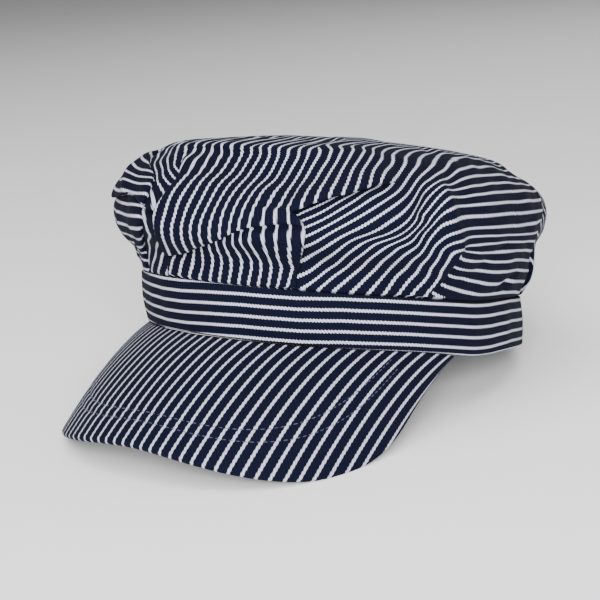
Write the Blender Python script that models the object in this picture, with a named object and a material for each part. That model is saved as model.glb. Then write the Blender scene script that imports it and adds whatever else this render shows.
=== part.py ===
"""Railroad engineer cap: a pleated crown, a band and a visor.

The cap is modelled in its own frame: the origin is at the middle of the head opening, the band's
lower edge lies in the XY plane, the visor points to -Y and the wearer's left is +X. An empty then
pitches the cap back and sets it on the table, where it stands on the visor's two front corners and
on the back of the band. All sizes are in metres and all angles in degrees.
"""

import math

import bmesh
import bpy
import mathutils
import numpy as np

# Driving sizes
BAND_LENGTH = 0.2034
BAND_WIDTH = 0.1662
BAND_HEIGHT = 0.0226
BAND_WALL = 0.0022
BAND_LEAN = 0.0071
BAND_BARREL = 0.0006
EDGE_ROUND = 0.0006
SEWN_GAP = 0.00035
CROWN_WALL = 0.0013
TUCK_DEPTH = 0.0060
VISOR_REACH = 0.0506
VISOR_HALF_WIDTH = 0.0779
VISOR_SHOULDER = 0.0596
VISOR_SQUARENESS = 2.31
VISOR_SLOPE = 23.5
VISOR_DROP = 7.0
VISOR_THICKNESS = 0.0032
VISOR_SKEW = 0.0010
VISOR_INSET = 0.0016
REST_FLAT = 0.0010
RIM_HEIGHT = 0.0815

# Mesh fineness; a fold's two columns lie a hair to each side of it
BAND_COLUMNS = 72
PANEL_COLUMNS = 10
WALL_ROWS = 18
TOP_ROWS = 5
TOP_END = 0.985
VISOR_COLUMNS = 32
VISOR_ROWS = 8
FOLD_HAIR = 0.15

# Crown: one row for each level, from the seam to the middle of the top.
# Heights are above the band's lower edge; front and back are measured from the middle of the head.
CROWN_SECTIONS = (
    # name, height, front, back, half_width, squareness
    ("seam", 0.0240, 0.1082, 0.0942, 0.0830, 2.00),
    ("low", 0.0330, 0.1074, 0.0965, 0.0868, 2.00),
    ("belly", 0.0440, 0.1150, 0.0915, 0.0895, 2.25),
    ("shoulder", 0.0620, 0.1060, 0.0885, 0.0900, 2.60),
    ("slope", 0.0760, 0.0930, 0.0900, 0.0815, 2.40),
    ("rim", 0.0815, 0.0900, 0.0875, 0.0750, 2.05),
    ("top", 0.0860, 0.0580, 0.0670, 0.0620, 2.00),
    ("inner", 0.0890, 0.0350, 0.0320, 0.0300, 2.00),
    ("middle", 0.0885, 0.0020, -0.0020, 0.0000, 2.00),
)

# Knife pleats, one row each, going round from the front toward the wearer's left.
# The fold runs from the seam to its tip; lap is how far the upper layer stands proud, and over
# tells which neighbour lies on top: -1 the panel before the pleat, +1 the panel after it.
PLEATS = (
    # name, seam_angle, tip_angle, tip_height, rim_angle, lap, over
    ("front_left", 27.0, 23.0, 0.0540, 25.0, 0.0032, -1),
    ("side_left", 63.0, 72.0, 0.0445, 62.0, 0.0032, -1),
    ("rear_left", 117.0, 108.0, 0.0480, 112.0, 0.0026, 1),
    ("back_left", 154.0, 159.0, 0.0530, 156.0, 0.0028, 1),
    ("back_right", 203.0, 199.0, 0.0520, 202.0, 0.0028, -1),
    ("rear_right", 243.0, 252.0, 0.0480, 247.0, 0.0026, -1),
    ("side_right", 297.0, 288.0, 0.0450, 298.0, 0.0030, 1),
    ("front_right", 345.0, 346.5, 0.0760, 346.0, 0.0030, 1),
)

# Creases, tucks and ridges of the crown, one row each: a line from start to end, seen from
# outside. dent pushes the line itself out (+) or in (-); step pushes out what lies above it.
CREASES = (
    # name, start_angle, start_height, end_angle, end_height, dent, width, step, reach
    ("front_crease", -15.0, 0.0330, 21.0, 0.0500, -0.0026, 0.0032, 0.0022, 0.012),
    ("left_overhang", 20.5, 0.0550, 42.0, 0.0680, -0.0018, 0.0040, 0.0044, 0.014),
    ("left_valley", 38.0, 0.0435, 62.0, 0.0490, -0.0032, 0.0045, 0.0000, 0.010),
    ("left_gather", 56.0, 0.0430, 58.0, 0.0680, -0.0030, 0.0040, 0.0000, 0.010),
    ("left_corner", 72.0, 0.0430, 61.0, 0.0700, 0.0030, 0.0035, 0.0000, 0.010),
    ("side_sweep", 69.0, 0.0300, 92.0, 0.0500, -0.0012, 0.0035, 0.0008, 0.008),
    ("side_low", 87.0, 0.0270, 97.0, 0.0360, -0.0011, 0.0030, 0.0008, 0.008),
    ("right_overhang", -50.0, 0.0545, -24.0, 0.0560, -0.0022, 0.0036, 0.0036, 0.014),
    ("right_fold", -45.0, 0.0740, -26.0, 0.0560, 0.0018, 0.0040, 0.0000, 0.010),
    ("right_sweep", -96.0, 0.0480, -74.0, 0.0330, -0.0014, 0.0040, 0.0008, 0.008),
    ("rear_left_tuck", 122.0, 0.0480, 144.0, 0.0620, -0.0018, 0.0050, 0.0024, 0.014),
    ("back_crease", 163.0, 0.0400, 196.0, 0.0470, -0.0020, 0.0045, 0.0016, 0.012),
    ("rear_right_tuck", 214.0, 0.0640, 236.0, 0.0480, -0.0018, 0.0050, 0.0024, 0.014),
)

# Soft swells (+) and hollows (-) of the crown, one row each.
SWELLS = (
    # name, angle, height, spread_round, spread_up, rise
    ("front_swell", 0.0, 0.0500, 0.040, 0.012, 0.0022),
    ("front_dip", 12.0, 0.0690, 0.035, 0.006, -0.0020),
    ("left_puff", 48.0, 0.0560, 0.016, 0.008, 0.0018),
    ("side_puff", 88.0, 0.0620, 0.026, 0.012, 0.0008),
    ("right_puff", -38.0, 0.0640, 0.022, 0.009, 0.0014),
    ("right_belly", -58.0, 0.0440, 0.032, 0.017, 0.0042),
    ("left_crest", 118.0, 0.0840, 0.050, 0.008, 0.0026),
    ("rear_left_hollow", 122.0, 0.0530, 0.040, 0.016, -0.0024),
    ("back_puff", 180.0, 0.0600, 0.035, 0.012, 0.0020),
    ("rear_right_puff", 232.0, 0.0640, 0.025, 0.012, 0.0018),
)

# Waves of the band beside the ears: how far each edge hangs below its plane.
BAND_WAVES = (
    # name, angle, spread, lower_drop, upper_drop
    ("left_ear", 80.0, 13.0, 0.0020, 0.0011),
    ("right_ear", -80.0, 13.0, 0.0014, 0.0009),
)

NAVY = (0.016, 0.019, 0.058, 1.0)
MEAN_RADIUS = (BAND_LENGTH + BAND_WIDTH) / 4


def smooth_step(value):
    t = np.clip(value, 0.0, 1.0)
    return t * t * (3 - 2 * t)


def along(stations, values, at):
    """A smooth curve through values given at increasing stations."""
    stations = np.asarray(stations, float)
    values = np.asarray(values, float)
    slopes = np.gradient(values, stations)
    i = np.clip(np.searchsorted(stations, at, side="right") - 1, 0, len(stations) - 2)
    length = stations[i + 1] - stations[i]
    t = (at - stations[i]) / length
    return (
        (2 * t**3 - 3 * t**2 + 1) * values[i]
        + (t**3 - 2 * t**2 + t) * length * slopes[i]
        + (3 * t**2 - 2 * t**3) * values[i + 1]
        + (t**3 - t**2) * length * slopes[i + 1]
    )


def oval(angle, front, back, half_width, squareness):
    """Point of an oval at an angle from the front toward the wearer's left."""
    turn = np.radians(angle)
    side, ahead = np.sin(turn), np.cos(turn)
    power = 2 / squareness
    x = half_width * np.sign(side) * np.maximum(np.abs(side), 1e-9) ** power
    y = (back - front) / 2 - (front + back) / 2 * np.sign(ahead) * np.maximum(np.abs(ahead), 1e-9) ** power
    return x, y


def crown_base(angle, level):
    """Point of the crown without folds; level runs from 0 at the seam to 1 at the middle."""
    stations = np.linspace(0, 1, len(CROWN_SECTIONS))
    columns = list(zip(*CROWN_SECTIONS))
    height, front, back, half_width, squareness = (along(stations, c, level) for c in columns[1:])
    x, y = oval(angle, front, back, half_width, squareness)
    return np.stack(np.broadcast_arrays(x, y, height), -1)


def crown_normal(angle, level):
    """Outward unit normal of the crown's base."""
    turn, rise = 0.5, 0.004
    low = np.clip(level - rise, 0, 0.985)
    high = np.clip(level + rise, 0.008, 0.993)
    mid = (low + high) / 2
    around = crown_base(angle + turn, mid) - crown_base(angle - turn, mid)
    up = crown_base(angle, high) - crown_base(angle, low)
    normal = np.cross(around, up)
    return normal / np.linalg.norm(normal, axis=-1, keepdims=True)


def level_of(height):
    """The level at which the crown's wall reaches a height."""
    levels = np.linspace(0, 0.7, 141)
    heights = crown_base(np.zeros_like(levels), levels)[:, 2]
    return float(np.interp(height, heights, levels))


def pleat_angle(pleat, level):
    """Where a pleat's fold, and the line that carries it on to the top, lies at each level."""
    _, seam_angle, tip_angle, tip_height, rim_angle, _, _ = pleat
    tip = level_of(tip_height)
    rim = level_of(RIM_HEIGHT)
    below = seam_angle + (tip_angle - seam_angle) * np.minimum(level / tip, 1)
    above = (rim_angle - tip_angle) * smooth_step((level - tip) / max(rim - tip, 0.05))
    return below + above


def turned(angle, about):
    """The angle's difference from another, between -180 and 180."""
    return (angle - about + 180) % 360 - 180


def crease_relief(angle, height):
    """How far the creases and swells move the cloth outward."""
    total = np.zeros(np.broadcast(angle, height).shape)
    for _, a0, z0, a1, z1, dent, width, step, reach in CREASES:
        run = np.array([math.radians(a1 - a0) * MEAN_RADIUS, z1 - z0])
        length = np.hypot(*run)
        ahead = run / length
        dx = np.radians(turned(angle, a0)) * MEAN_RADIUS
        dz = height - z0
        t = (dx * ahead[0] + dz * ahead[1]) / length
        side = dz * ahead[0] - dx * ahead[1]
        fade = smooth_step((t + 0.15) / 0.3) * smooth_step((1.15 - t) / 0.3)
        shape = dent * np.exp(-((side / width) ** 2))
        shape = shape + step * smooth_step(side / width + 0.5) * np.exp(-np.maximum(side, 0) / reach)
        total = total + fade * shape
    for _, a0, z0, spread_round, spread_up, rise in SWELLS:
        dx = np.radians(turned(angle, a0)) * MEAN_RADIUS / spread_round
        dz = (height - z0) / spread_up
        total = total + rise * np.exp(-(dx**2) - dz**2)
    return total * smooth_step((height - CROWN_SECTIONS[0][1]) / 0.006)


def lap_relief(angle, level):
    """How far the upper layer of each pleat stands proud of the panel beneath it."""
    total = np.zeros(np.broadcast(angle, level).shape)
    for pleat in PLEATS:
        _, _, _, tip_height, _, lap, over = pleat
        tip = level_of(tip_height)
        away = np.radians(turned(angle, pleat_angle(pleat, level))) * MEAN_RADIUS * over
        height = lap * (0.55 + 0.45 * smooth_step(level / (0.4 * tip))) * smooth_step((tip - level) / (0.30 * tip))
        total = total + np.where(away >= 0, height * np.exp(-((away / 0.011) ** 2)), 0)
    return total


def crown_angles(level):
    """Angles of the grid's columns at one level: each panel is ruled between its two folds."""
    first = [float(pleat_angle(pleat, level)) for pleat in PLEATS]
    last = first[1:] + [first[0] + 360]
    panels = [np.linspace(a + FOLD_HAIR, b - FOLD_HAIR, PANEL_COLUMNS) for a, b in zip(first, last)]
    return np.concatenate(panels)


def crown_levels():
    wall = np.linspace(0, level_of(RIM_HEIGHT), WALL_ROWS)
    top = np.linspace(wall[-1], TOP_END, TOP_ROWS + 1)[1:]
    return np.concatenate([wall, top])


def crown_row(level, inside):
    """One row of the crown's outer face, or of its inner face, which is smooth under the folds."""
    angles = crown_angles(level)
    base = crown_base(angles, level)
    out = crease_relief(angles, base[:, 2])
    out = out - CROWN_WALL if inside else out + lap_relief(angles, level)
    points = base + crown_normal(angles, level) * out[:, None]
    sag = band_drop(angles, BAND_HEIGHT) * smooth_step(1 - (base[:, 2] - BAND_HEIGHT) / 0.012)
    points[:, 2] -= sag
    return points


def crown_rows():
    """Rows round the crown's wall: down the outside, round the hem, and up the inside."""
    angles = crown_angles(0.0)
    inset = BAND_WALL + SEWN_GAP
    hem, neck = BAND_HEIGHT - TUCK_DEPTH, BAND_HEIGHT + SEWN_GAP
    outer = [crown_row(level, False) for level in crown_levels()]
    inner = [crown_row(level, True) for level in crown_levels()]
    tuck = [band_ring(angles, height, inset) for height in (neck, hem)]
    tuck += [band_ring(angles, height, inset + CROWN_WALL) for height in (hem, neck)]
    return outer[::-1] + tuck + inner


def band_drop(angle, height):
    """How far the waves beside the ears let the band hang."""
    share = height / BAND_HEIGHT
    total = 0.0 * angle
    for _, at, spread, lower_drop, upper_drop in BAND_WAVES:
        bell = np.exp(-((turned(angle, at) / spread) ** 2))
        total = total + bell * (lower_drop + (upper_drop - lower_drop) * share)
    return total


def band_ring(angle, height, inset):
    """A row round the band, moved in from its outer face, at a height above its lower edge."""
    x, y = oval(angle, BAND_LENGTH / 2 - inset, BAND_LENGTH / 2 - inset, BAND_WIDTH / 2 - inset, 2.0)
    y = y - BAND_LEAN * height / BAND_HEIGHT
    return np.stack([x, y, height - band_drop(angle, height)], -1)


def band_rows():
    """Rows round the band's section: up the outside, over the top edge and down the inside."""
    angles = np.linspace(0, 360, BAND_COLUMNS, endpoint=False)
    top = BAND_HEIGHT
    section = (
        (0.0, EDGE_ROUND),
        (-BAND_BARREL, top * 0.35),
        (-BAND_BARREL, top * 0.65),
        (0.0, top - EDGE_ROUND),
        (EDGE_ROUND, top),
        (BAND_WALL - EDGE_ROUND, top),
        (BAND_WALL, top - EDGE_ROUND),
        (BAND_WALL, EDGE_ROUND),
        (BAND_WALL - EDGE_ROUND, 0.0),
        (EDGE_ROUND, 0.0),
    )
    return [band_ring(angles, height, inset) for inset, height in section]


def seam_y(x):
    """How far forward the visor's seam lies at x: it follows the band's lower edge."""
    share = np.abs(x) / (BAND_WIDTH / 2 - VISOR_INSET)
    return -(BAND_LENGTH / 2 - VISOR_INSET) * np.sqrt(1 - share**2)


def brim_y(x):
    """How far forward the visor's free edge lies at x."""
    share = np.minimum(np.abs(x) / VISOR_HALF_WIDTH, 1)
    depth = BAND_LENGTH / 2 + VISOR_REACH - VISOR_SHOULDER
    shoulder = VISOR_SHOULDER + VISOR_SKEW * x / VISOR_HALF_WIDTH
    return -shoulder - depth * (1 - share**VISOR_SQUARENESS) ** (1 / VISOR_SQUARENESS)


def visor_top(x, y):
    """Point of the visor's upper face, which falls away forward from the seam."""
    run = seam_y(x) - y
    angle = np.degrees(np.arcsin(x / (BAND_WIDTH / 2 - VISOR_INSET)))
    drop = math.tan(math.radians(VISOR_SLOPE)) * run + VISOR_DROP * run**2
    return np.array([x, y, -SEWN_GAP - drop - float(band_drop(angle, 0.0))])


def visor_normal(x, y):
    step = 0.0004
    inner = min(abs(x), VISOR_HALF_WIDTH - step) * (1 if x >= 0 else -1)
    across = visor_top(inner + step, y) - visor_top(inner - step, y)
    ahead = visor_top(x, y - step) - visor_top(x, y + step)
    normal = np.cross(ahead, across)
    return normal / np.linalg.norm(normal)


def visor_rows():
    """Sections of the visor from its right end to its left end, each a closed loop."""
    sections = []
    radius = VISOR_THICKNESS / 2
    for turn in np.linspace(-90, 90, VISOR_COLUMNS + 1):
        x = VISOR_HALF_WIDTH * math.sin(math.radians(turn))
        beyond = max(0.0, abs(x) - (VISOR_HALF_WIDTH - radius)) / radius
        half = radius * max(0.2, math.sqrt(max(0.0, 1 - beyond**2)))
        back, front = seam_y(x), brim_y(x) + radius
        upper, lower = [], []
        for share in np.linspace(0, 1, VISOR_ROWS + 1):
            y = back + (front - back) * share
            middle = visor_top(x, y) - visor_normal(x, y) * radius
            upper.append(middle + visor_normal(x, y) * half)
            lower.append(middle - visor_normal(x, y) * half)
        ahead = visor_top(x, front - radius) - visor_top(x, front)
        ahead = ahead / np.linalg.norm(ahead)
        normal = visor_normal(x, front)
        nose = []
        for roll in (45, 0, -45):
            lift = half * math.sin(math.radians(roll))
            nose.append(middle + normal * lift + ahead * radius * math.cos(math.radians(roll)))
        sections.append(np.array(upper + nose + lower[::-1]))
    return sections


def rest_pitch(visor, band):
    """The pitch at which the visor's corners and the back of the band touch the table together."""
    low, high = math.radians(2), math.radians(30)
    for _ in range(40):
        pitch = (low + high) / 2
        table = np.array([0, -math.sin(pitch), math.cos(pitch)])
        if (visor @ table).min() < (band @ table).min():
            low = pitch
        else:
            high = pitch
    return pitch


def flattened(rows, table, floor):
    """The rows with every point that would lie under the table pressed flat on it."""
    pressed = []
    for row in rows:
        under = np.maximum(0, floor - row @ table)
        pressed.append(row + under[:, None] * table)
    return pressed


def ring_mesh(name, rows, closed, domed):
    """A mesh of rows of points; closed joins the last row to the first, domed ends in points."""
    mesh = bmesh.new()
    rings = [[mesh.verts.new(point) for point in row] for row in rows]
    pairs = list(zip(rings, rings[1:]))
    if closed:
        pairs.append((rings[-1], rings[0]))
    for low, high in pairs:
        for i, here in enumerate(low):
            j = (i + 1) % len(low)
            mesh.faces.new((here, low[j], high[j], high[i]))
    for ring, row in ((rings[0], rows[0]), (rings[-1], rows[-1])):
        if domed:
            pole = mesh.verts.new(row.mean(axis=0))
            for i, here in enumerate(ring):
                mesh.faces.new((here, ring[(i + 1) % len(ring)], pole))
        elif not closed:
            mesh.faces.new(ring)
    bmesh.ops.recalc_face_normals(mesh, faces=mesh.faces)
    data = bpy.data.meshes.new(name)
    mesh.to_mesh(data)
    mesh.free()
    return data


def cloth(name, roughness):
    """The stripe cloth as a plain dark blue."""
    finish = bpy.data.materials.new(name)
    finish.use_nodes = True
    shader = finish.node_tree.nodes["Principled BSDF"]
    shader.inputs["Base Color"].default_value = NAVY
    shader.inputs["Roughness"].default_value = roughness
    shader.inputs["Metallic"].default_value = 0.0
    return finish


def piece(name, data, parent, finish):
    obj = bpy.data.objects.new(name, data)
    bpy.context.scene.collection.objects.link(obj)
    data.materials.append(finish)
    data.shade_smooth()
    obj.parent = parent
    return obj


def clear_scene():
    for obj in list(bpy.data.objects):
        bpy.data.objects.remove(obj, do_unlink=True)


def main():
    clear_scene()
    crown, band, visor = crown_rows(), band_rows(), visor_rows()
    visor_points, band_points = np.concatenate(visor), np.concatenate(band)
    pitch = rest_pitch(visor_points, band_points)
    table = np.array([0, -math.sin(pitch), math.cos(pitch)])
    floor = (band_points @ table).min() + REST_FLAT
    band = flattened(band, table, floor)
    visor = flattened(visor, table, floor)

    turn = mathutils.Matrix.Rotation(-pitch, 4, "X")
    every = np.concatenate(crown + band + visor) @ np.array(turn.to_3x3()).T
    middle = (every.min(axis=0) + every.max(axis=0)) / 2
    pose = bpy.data.objects.new("cap", None)
    bpy.context.scene.collection.objects.link(pose)
    pose.rotation_euler = (-pitch, 0, 0)
    pose.location = (-middle[0], -middle[1], -floor)

    piece("crown", ring_mesh("crown", crown, closed=False, domed=True), pose, cloth("crown_cloth", 0.85))
    piece("band", ring_mesh("band", band, closed=True, domed=False), pose, cloth("band_cloth", 0.85))
    piece("visor", ring_mesh("visor", visor, closed=False, domed=False), pose, cloth("visor_cloth", 0.75))
    bpy.context.view_layer.update()


if __name__ == "__main__":
    main()
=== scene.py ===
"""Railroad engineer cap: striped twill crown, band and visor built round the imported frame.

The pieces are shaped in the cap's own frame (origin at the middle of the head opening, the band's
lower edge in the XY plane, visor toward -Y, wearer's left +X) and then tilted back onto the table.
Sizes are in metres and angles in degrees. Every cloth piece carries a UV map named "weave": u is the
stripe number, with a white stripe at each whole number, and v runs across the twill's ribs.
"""

import math

import bpy
import numpy as np
from mathutils import Matrix


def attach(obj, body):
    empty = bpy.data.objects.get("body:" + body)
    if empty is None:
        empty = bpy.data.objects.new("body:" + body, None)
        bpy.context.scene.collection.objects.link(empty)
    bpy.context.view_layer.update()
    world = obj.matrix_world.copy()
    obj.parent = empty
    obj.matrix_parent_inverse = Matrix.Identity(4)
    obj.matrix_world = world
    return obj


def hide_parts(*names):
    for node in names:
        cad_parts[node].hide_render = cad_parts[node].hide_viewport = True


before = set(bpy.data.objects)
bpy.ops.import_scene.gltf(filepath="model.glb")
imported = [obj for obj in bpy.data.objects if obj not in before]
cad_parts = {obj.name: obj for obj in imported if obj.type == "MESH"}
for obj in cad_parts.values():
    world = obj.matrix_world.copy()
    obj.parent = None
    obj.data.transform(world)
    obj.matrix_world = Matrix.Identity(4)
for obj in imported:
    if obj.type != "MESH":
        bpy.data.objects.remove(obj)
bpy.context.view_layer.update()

bl_info = {
    "name": "Railroad Engineer Cap",
    "version": (1, 0, 0),
    "blender": (4, 5, 0),
    "location": "View3D > Sidebar > Cap",
    "description": "Builds a striped work cap: pleated crown, band and visor with stitching",
    "category": "Add Mesh",
}

# Band, seam and visor, as in the solids
BAND_LENGTH = 0.2034
BAND_WIDTH = 0.1662
BAND_HEIGHT = 0.0226
BAND_WALL = 0.0022
BAND_LEAN = 0.0071
BAND_BARREL = 0.0006
EDGE_ROUND = 0.0006
SEWN_GAP = 0.00035
CROWN_WALL = 0.0013
TUCK_DEPTH = 0.0060
VISOR_REACH = 0.0506
VISOR_HALF_WIDTH = 0.0779
VISOR_SHOULDER = 0.0596
VISOR_SQUARENESS = 2.31
VISOR_SLOPE = 23.5
VISOR_DROP = 7.0
VISOR_THICKNESS = 0.0032
VISOR_SKEW = 0.0010
VISOR_INSET = 0.0016
RIM_HEIGHT = 0.0815
MEAN_RADIUS = (BAND_LENGTH + BAND_WIDTH) / 4

# How the cap rests: pitched back on the visor's corners and the back of the band
PITCH = -0.22839
REST_PLACE = (-0.000044, 0.025311, 0.02189)

CROWN_SECTIONS = (
    # name, height, front, back, half_width, squareness
    ("seam", 0.0240, 0.1082, 0.0942, 0.0830, 2.00),
    ("low", 0.0330, 0.1074, 0.0965, 0.0868, 2.00),
    ("belly", 0.0440, 0.1150, 0.0915, 0.0895, 2.25),
    ("shoulder", 0.0620, 0.1060, 0.0885, 0.0900, 2.60),
    ("slope", 0.0760, 0.0930, 0.0900, 0.0815, 2.40),
    ("rim", 0.0815, 0.0900, 0.0875, 0.0750, 2.05),
    ("top", 0.0860, 0.0580, 0.0670, 0.0620, 2.00),
    ("inner", 0.0890, 0.0350, 0.0320, 0.0300, 2.00),
    ("middle", 0.0885, 0.0020, -0.0020, 0.0000, 2.00),
)

# Knife pleats going round from the front toward the wearer's left. The path runs from the seam to
# the pleat's tip, and a plain line carries it on to the rim. over tells which neighbour lies on top:
# -1 the panel before the fold, +1 the panel after it. fade is how far below its tip the pleat begins
# to flatten. columns is the fineness of the panel that follows.
FOLDS = (
    # name, path of (height, angle), rim_angle, fade, lap, over, tuck, columns
    ("front_right",
     ((0.0240, -15.0), (0.0300, -15.4), (0.0350, -14.4), (0.0390, -12.7), (0.0440, -11.3), (0.0480, -11.2),
      (0.0530, -9.6), (0.0570, -8.6), (0.0610, -8.1), (0.0650, -8.6), (0.0700, -11.4), (0.0740, -14.2),
      (0.0790, -17.5)), -20.0, 0.0080, 0.0028, 1, 0.0014, 96),
    ("front_left",
     ((0.0240, 25.3), (0.0300, 24.5), (0.0360, 24.8), (0.0420, 25.8), (0.0480, 24.6), (0.0505, 22.9),
      (0.0530, 20.2), (0.0555, 17.0)), 25.0, 0.0026, 0.0030, -1, 0.0018, 84),
    ("side_left",
     ((0.0240, 61.8), (0.0300, 62.6), (0.0360, 65.0), (0.0410, 69.2), (0.0445, 71.5)),
     62.0, 0.0060, 0.0032, -1, 0.0016, 70),
    ("rear_left", ((0.0240, 117.0), (0.0360, 112.0), (0.0480, 108.0)), 112.0, 0.0080, 0.0012, 1, 0.0008, 30),
    ("back_left", ((0.0240, 154.0), (0.0400, 156.5), (0.0530, 159.0)), 156.0, 0.0080, 0.0028, 1, 0.0014, 36),
    ("back_right", ((0.0240, 203.0), (0.0400, 201.0), (0.0520, 199.0)),
     202.0, 0.0080, 0.0028, -1, 0.0014, 30),
    ("rear_right", ((0.0240, 243.0), (0.0360, 248.0), (0.0480, 252.0)),
     247.0, 0.0080, 0.0026, -1, 0.0014, 52),
    ("side_right", ((0.0240, 297.0), (0.0340, 293.0), (0.0450, 288.0)), 298.0, 0.0080, 0.0030, 1, 0.0014, 44),
    ("front_tuck",
     ((0.0240, 327.0), (0.0340, 327.5), (0.0410, 337.0), (0.0470, 340.0), (0.0505, 339.8), (0.0535, 342.4),
      (0.0580, 343.0), (0.0650, 340.0), (0.0690, 332.0), (0.0725, 323.5), (0.0790, 316.0)),
     314.0, 0.0080, 0.0018, -1, 0.0012, 28),
)

# Two level lines of the mesh that follow the crown's creases round the cap
LOWER_LINE = (
    # angle, height
    (-120, 0.041), (-96, 0.046), (-74, 0.036), (-50, 0.036), (-30, 0.0325), (-15, 0.0335), (-8, 0.0350),
    (-2, 0.0380), (5, 0.0418), (11.5, 0.0465), (16, 0.0480), (21, 0.0492), (27, 0.0478), (38, 0.0435),
    (50, 0.0455), (62, 0.0490), (76, 0.0480), (92, 0.0450), (112, 0.0420), (150, 0.0410), (180, 0.0440),
    (215, 0.0410),
)
UPPER_LINE = (
    (-120, 0.0600), (-80, 0.0580), (-54, 0.0555), (-40, 0.0556), (-31, 0.0563), (-25, 0.0574), (-21, 0.0548),
    (-17, 0.0518), (-13, 0.0500), (-8, 0.0512), (0, 0.0530), (8, 0.0543), (14, 0.0550), (17.5, 0.0548),
    (20.5, 0.0558), (23.5, 0.0590), (27.0, 0.0622), (31.8, 0.0652), (36.0, 0.0672), (41.5, 0.0698),
    (47, 0.0700), (54, 0.0680), (62, 0.0650), (90, 0.0610), (122, 0.0590), (144, 0.0620), (180, 0.0600),
    (214, 0.0630),
)

# Overhanging creases along those lines: the cloth above slides down over the cloth below.
LIPS = (
    # name, line, start_angle, end_angle, start_fade, end_fade, slide, step, dent, width
    ("front_crease", 0, -12.0, 21.0, 6.0, 5.0, 0.0000, 0.0013, 0.0024, 0.0026),
    ("left_overhang", 1, 19.5, 41.0, 2.2, 8.0, 0.0024, 0.0040, 0.0018, 0.0034),
    ("right_overhang", 1, -44.0, -15.5, 12.0, 2.5, 0.0010, 0.0016, 0.0013, 0.0026),
    ("back_crease", 0, 163.0, 196.0, 8.0, 8.0, 0.0002, 0.0016, 0.0020, 0.0040),
)

# Other creases and ridges: dent pushes the line out (+) or in (-), step lifts what lies above it.
CREASES = (
    # name, start_angle, start_height, end_angle, end_height, dent, width, step, reach
    ("left_valley", 38.0, 0.0435, 62.0, 0.0490, -0.0026, 0.0042, 0.0000, 0.010),
    ("left_gather", 57.0, 0.0560, 58.0, 0.0680, -0.0022, 0.0042, 0.0000, 0.010),
    ("left_corner", 72.0, 0.0430, 61.0, 0.0700, 0.0026, 0.0042, 0.0000, 0.010),
    ("side_sweep", 69.0, 0.0300, 92.0, 0.0500, -0.0012, 0.0030, 0.0008, 0.008),
    ("side_low", 87.0, 0.0270, 97.0, 0.0360, -0.0012, 0.0022, 0.0009, 0.008),
    ("right_fold", -45.0, 0.0740, -26.0, 0.0560, 0.0018, 0.0034, 0.0000, 0.010),
    ("right_sweep", -96.0, 0.0480, -74.0, 0.0330, -0.0014, 0.0034, 0.0008, 0.008),
    ("rear_left_tuck", 122.0, 0.0480, 144.0, 0.0620, -0.0018, 0.0040, 0.0024, 0.014),
    ("rear_right_tuck", 214.0, 0.0640, 236.0, 0.0480, -0.0018, 0.0040, 0.0024, 0.014),
)

SWELLS = (
    # name, angle, height, spread_round, spread_up, rise
    ("front_swell", 0.0, 0.0500, 0.040, 0.012, 0.0022),
    ("front_dip", 12.0, 0.0690, 0.035, 0.006, -0.0020),
    ("left_puff", 48.0, 0.0560, 0.016, 0.008, 0.0018),
    ("side_puff", 88.0, 0.0620, 0.026, 0.012, 0.0008),
    ("right_puff", -38.0, 0.0640, 0.022, 0.009, 0.0014),
    ("right_belly", -58.0, 0.0440, 0.032, 0.017, 0.0030),
    ("right_low", -62.0, 0.0310, 0.030, 0.007, 0.0016),
    ("left_crest", 118.0, 0.0800, 0.055, 0.0065, -0.0028),
    ("rear_left_hollow", 122.0, 0.0530, 0.040, 0.016, -0.0024),
    ("back_puff", 180.0, 0.0600, 0.035, 0.012, 0.0020),
    ("rear_right_puff", 232.0, 0.0640, 0.025, 0.012, 0.0018),
)

# Small unevenness of the cloth: waves round and up the crown
RIPPLES = (
    # waves_round, waves_up_per_metre, phase, rise
    (19, 31, 0.4, 0.00022),
    (27, -47, 2.1, 0.00018),
    (37, 58, 4.0, 0.00014),
    (52, -25, 1.2, 0.00010),
)
GATHERS = (
    # waves_round, phase, rise
    (41, 0.7, 0.00022),
    (67, 2.9, 0.00016),
    (89, 5.1, 0.00010),
)

BAND_DRIFT = (
    # angle, how far the band's stripes wander off its straight grain, in stripes
    (-180, -0.10), (-60, 0.20), (-33, 0.50), (-20, 0.71), (-10, 0.66), (0, 0.46), (10, 0.32), (27, 0.26),
    (38, 0.05), (50, -0.03), (64, -0.03), (74, -0.12), (87, -0.12), (100, -0.25), (130, -0.15), (180, -0.10),
)

BAND_WAVES = (
    # name, angle, spread, lower_drop, upper_drop
    ("left_ear", 80.0, 13.0, 0.0020, 0.0011),
    ("right_ear", -80.0, 13.0, 0.0014, 0.0009),
)

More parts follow.
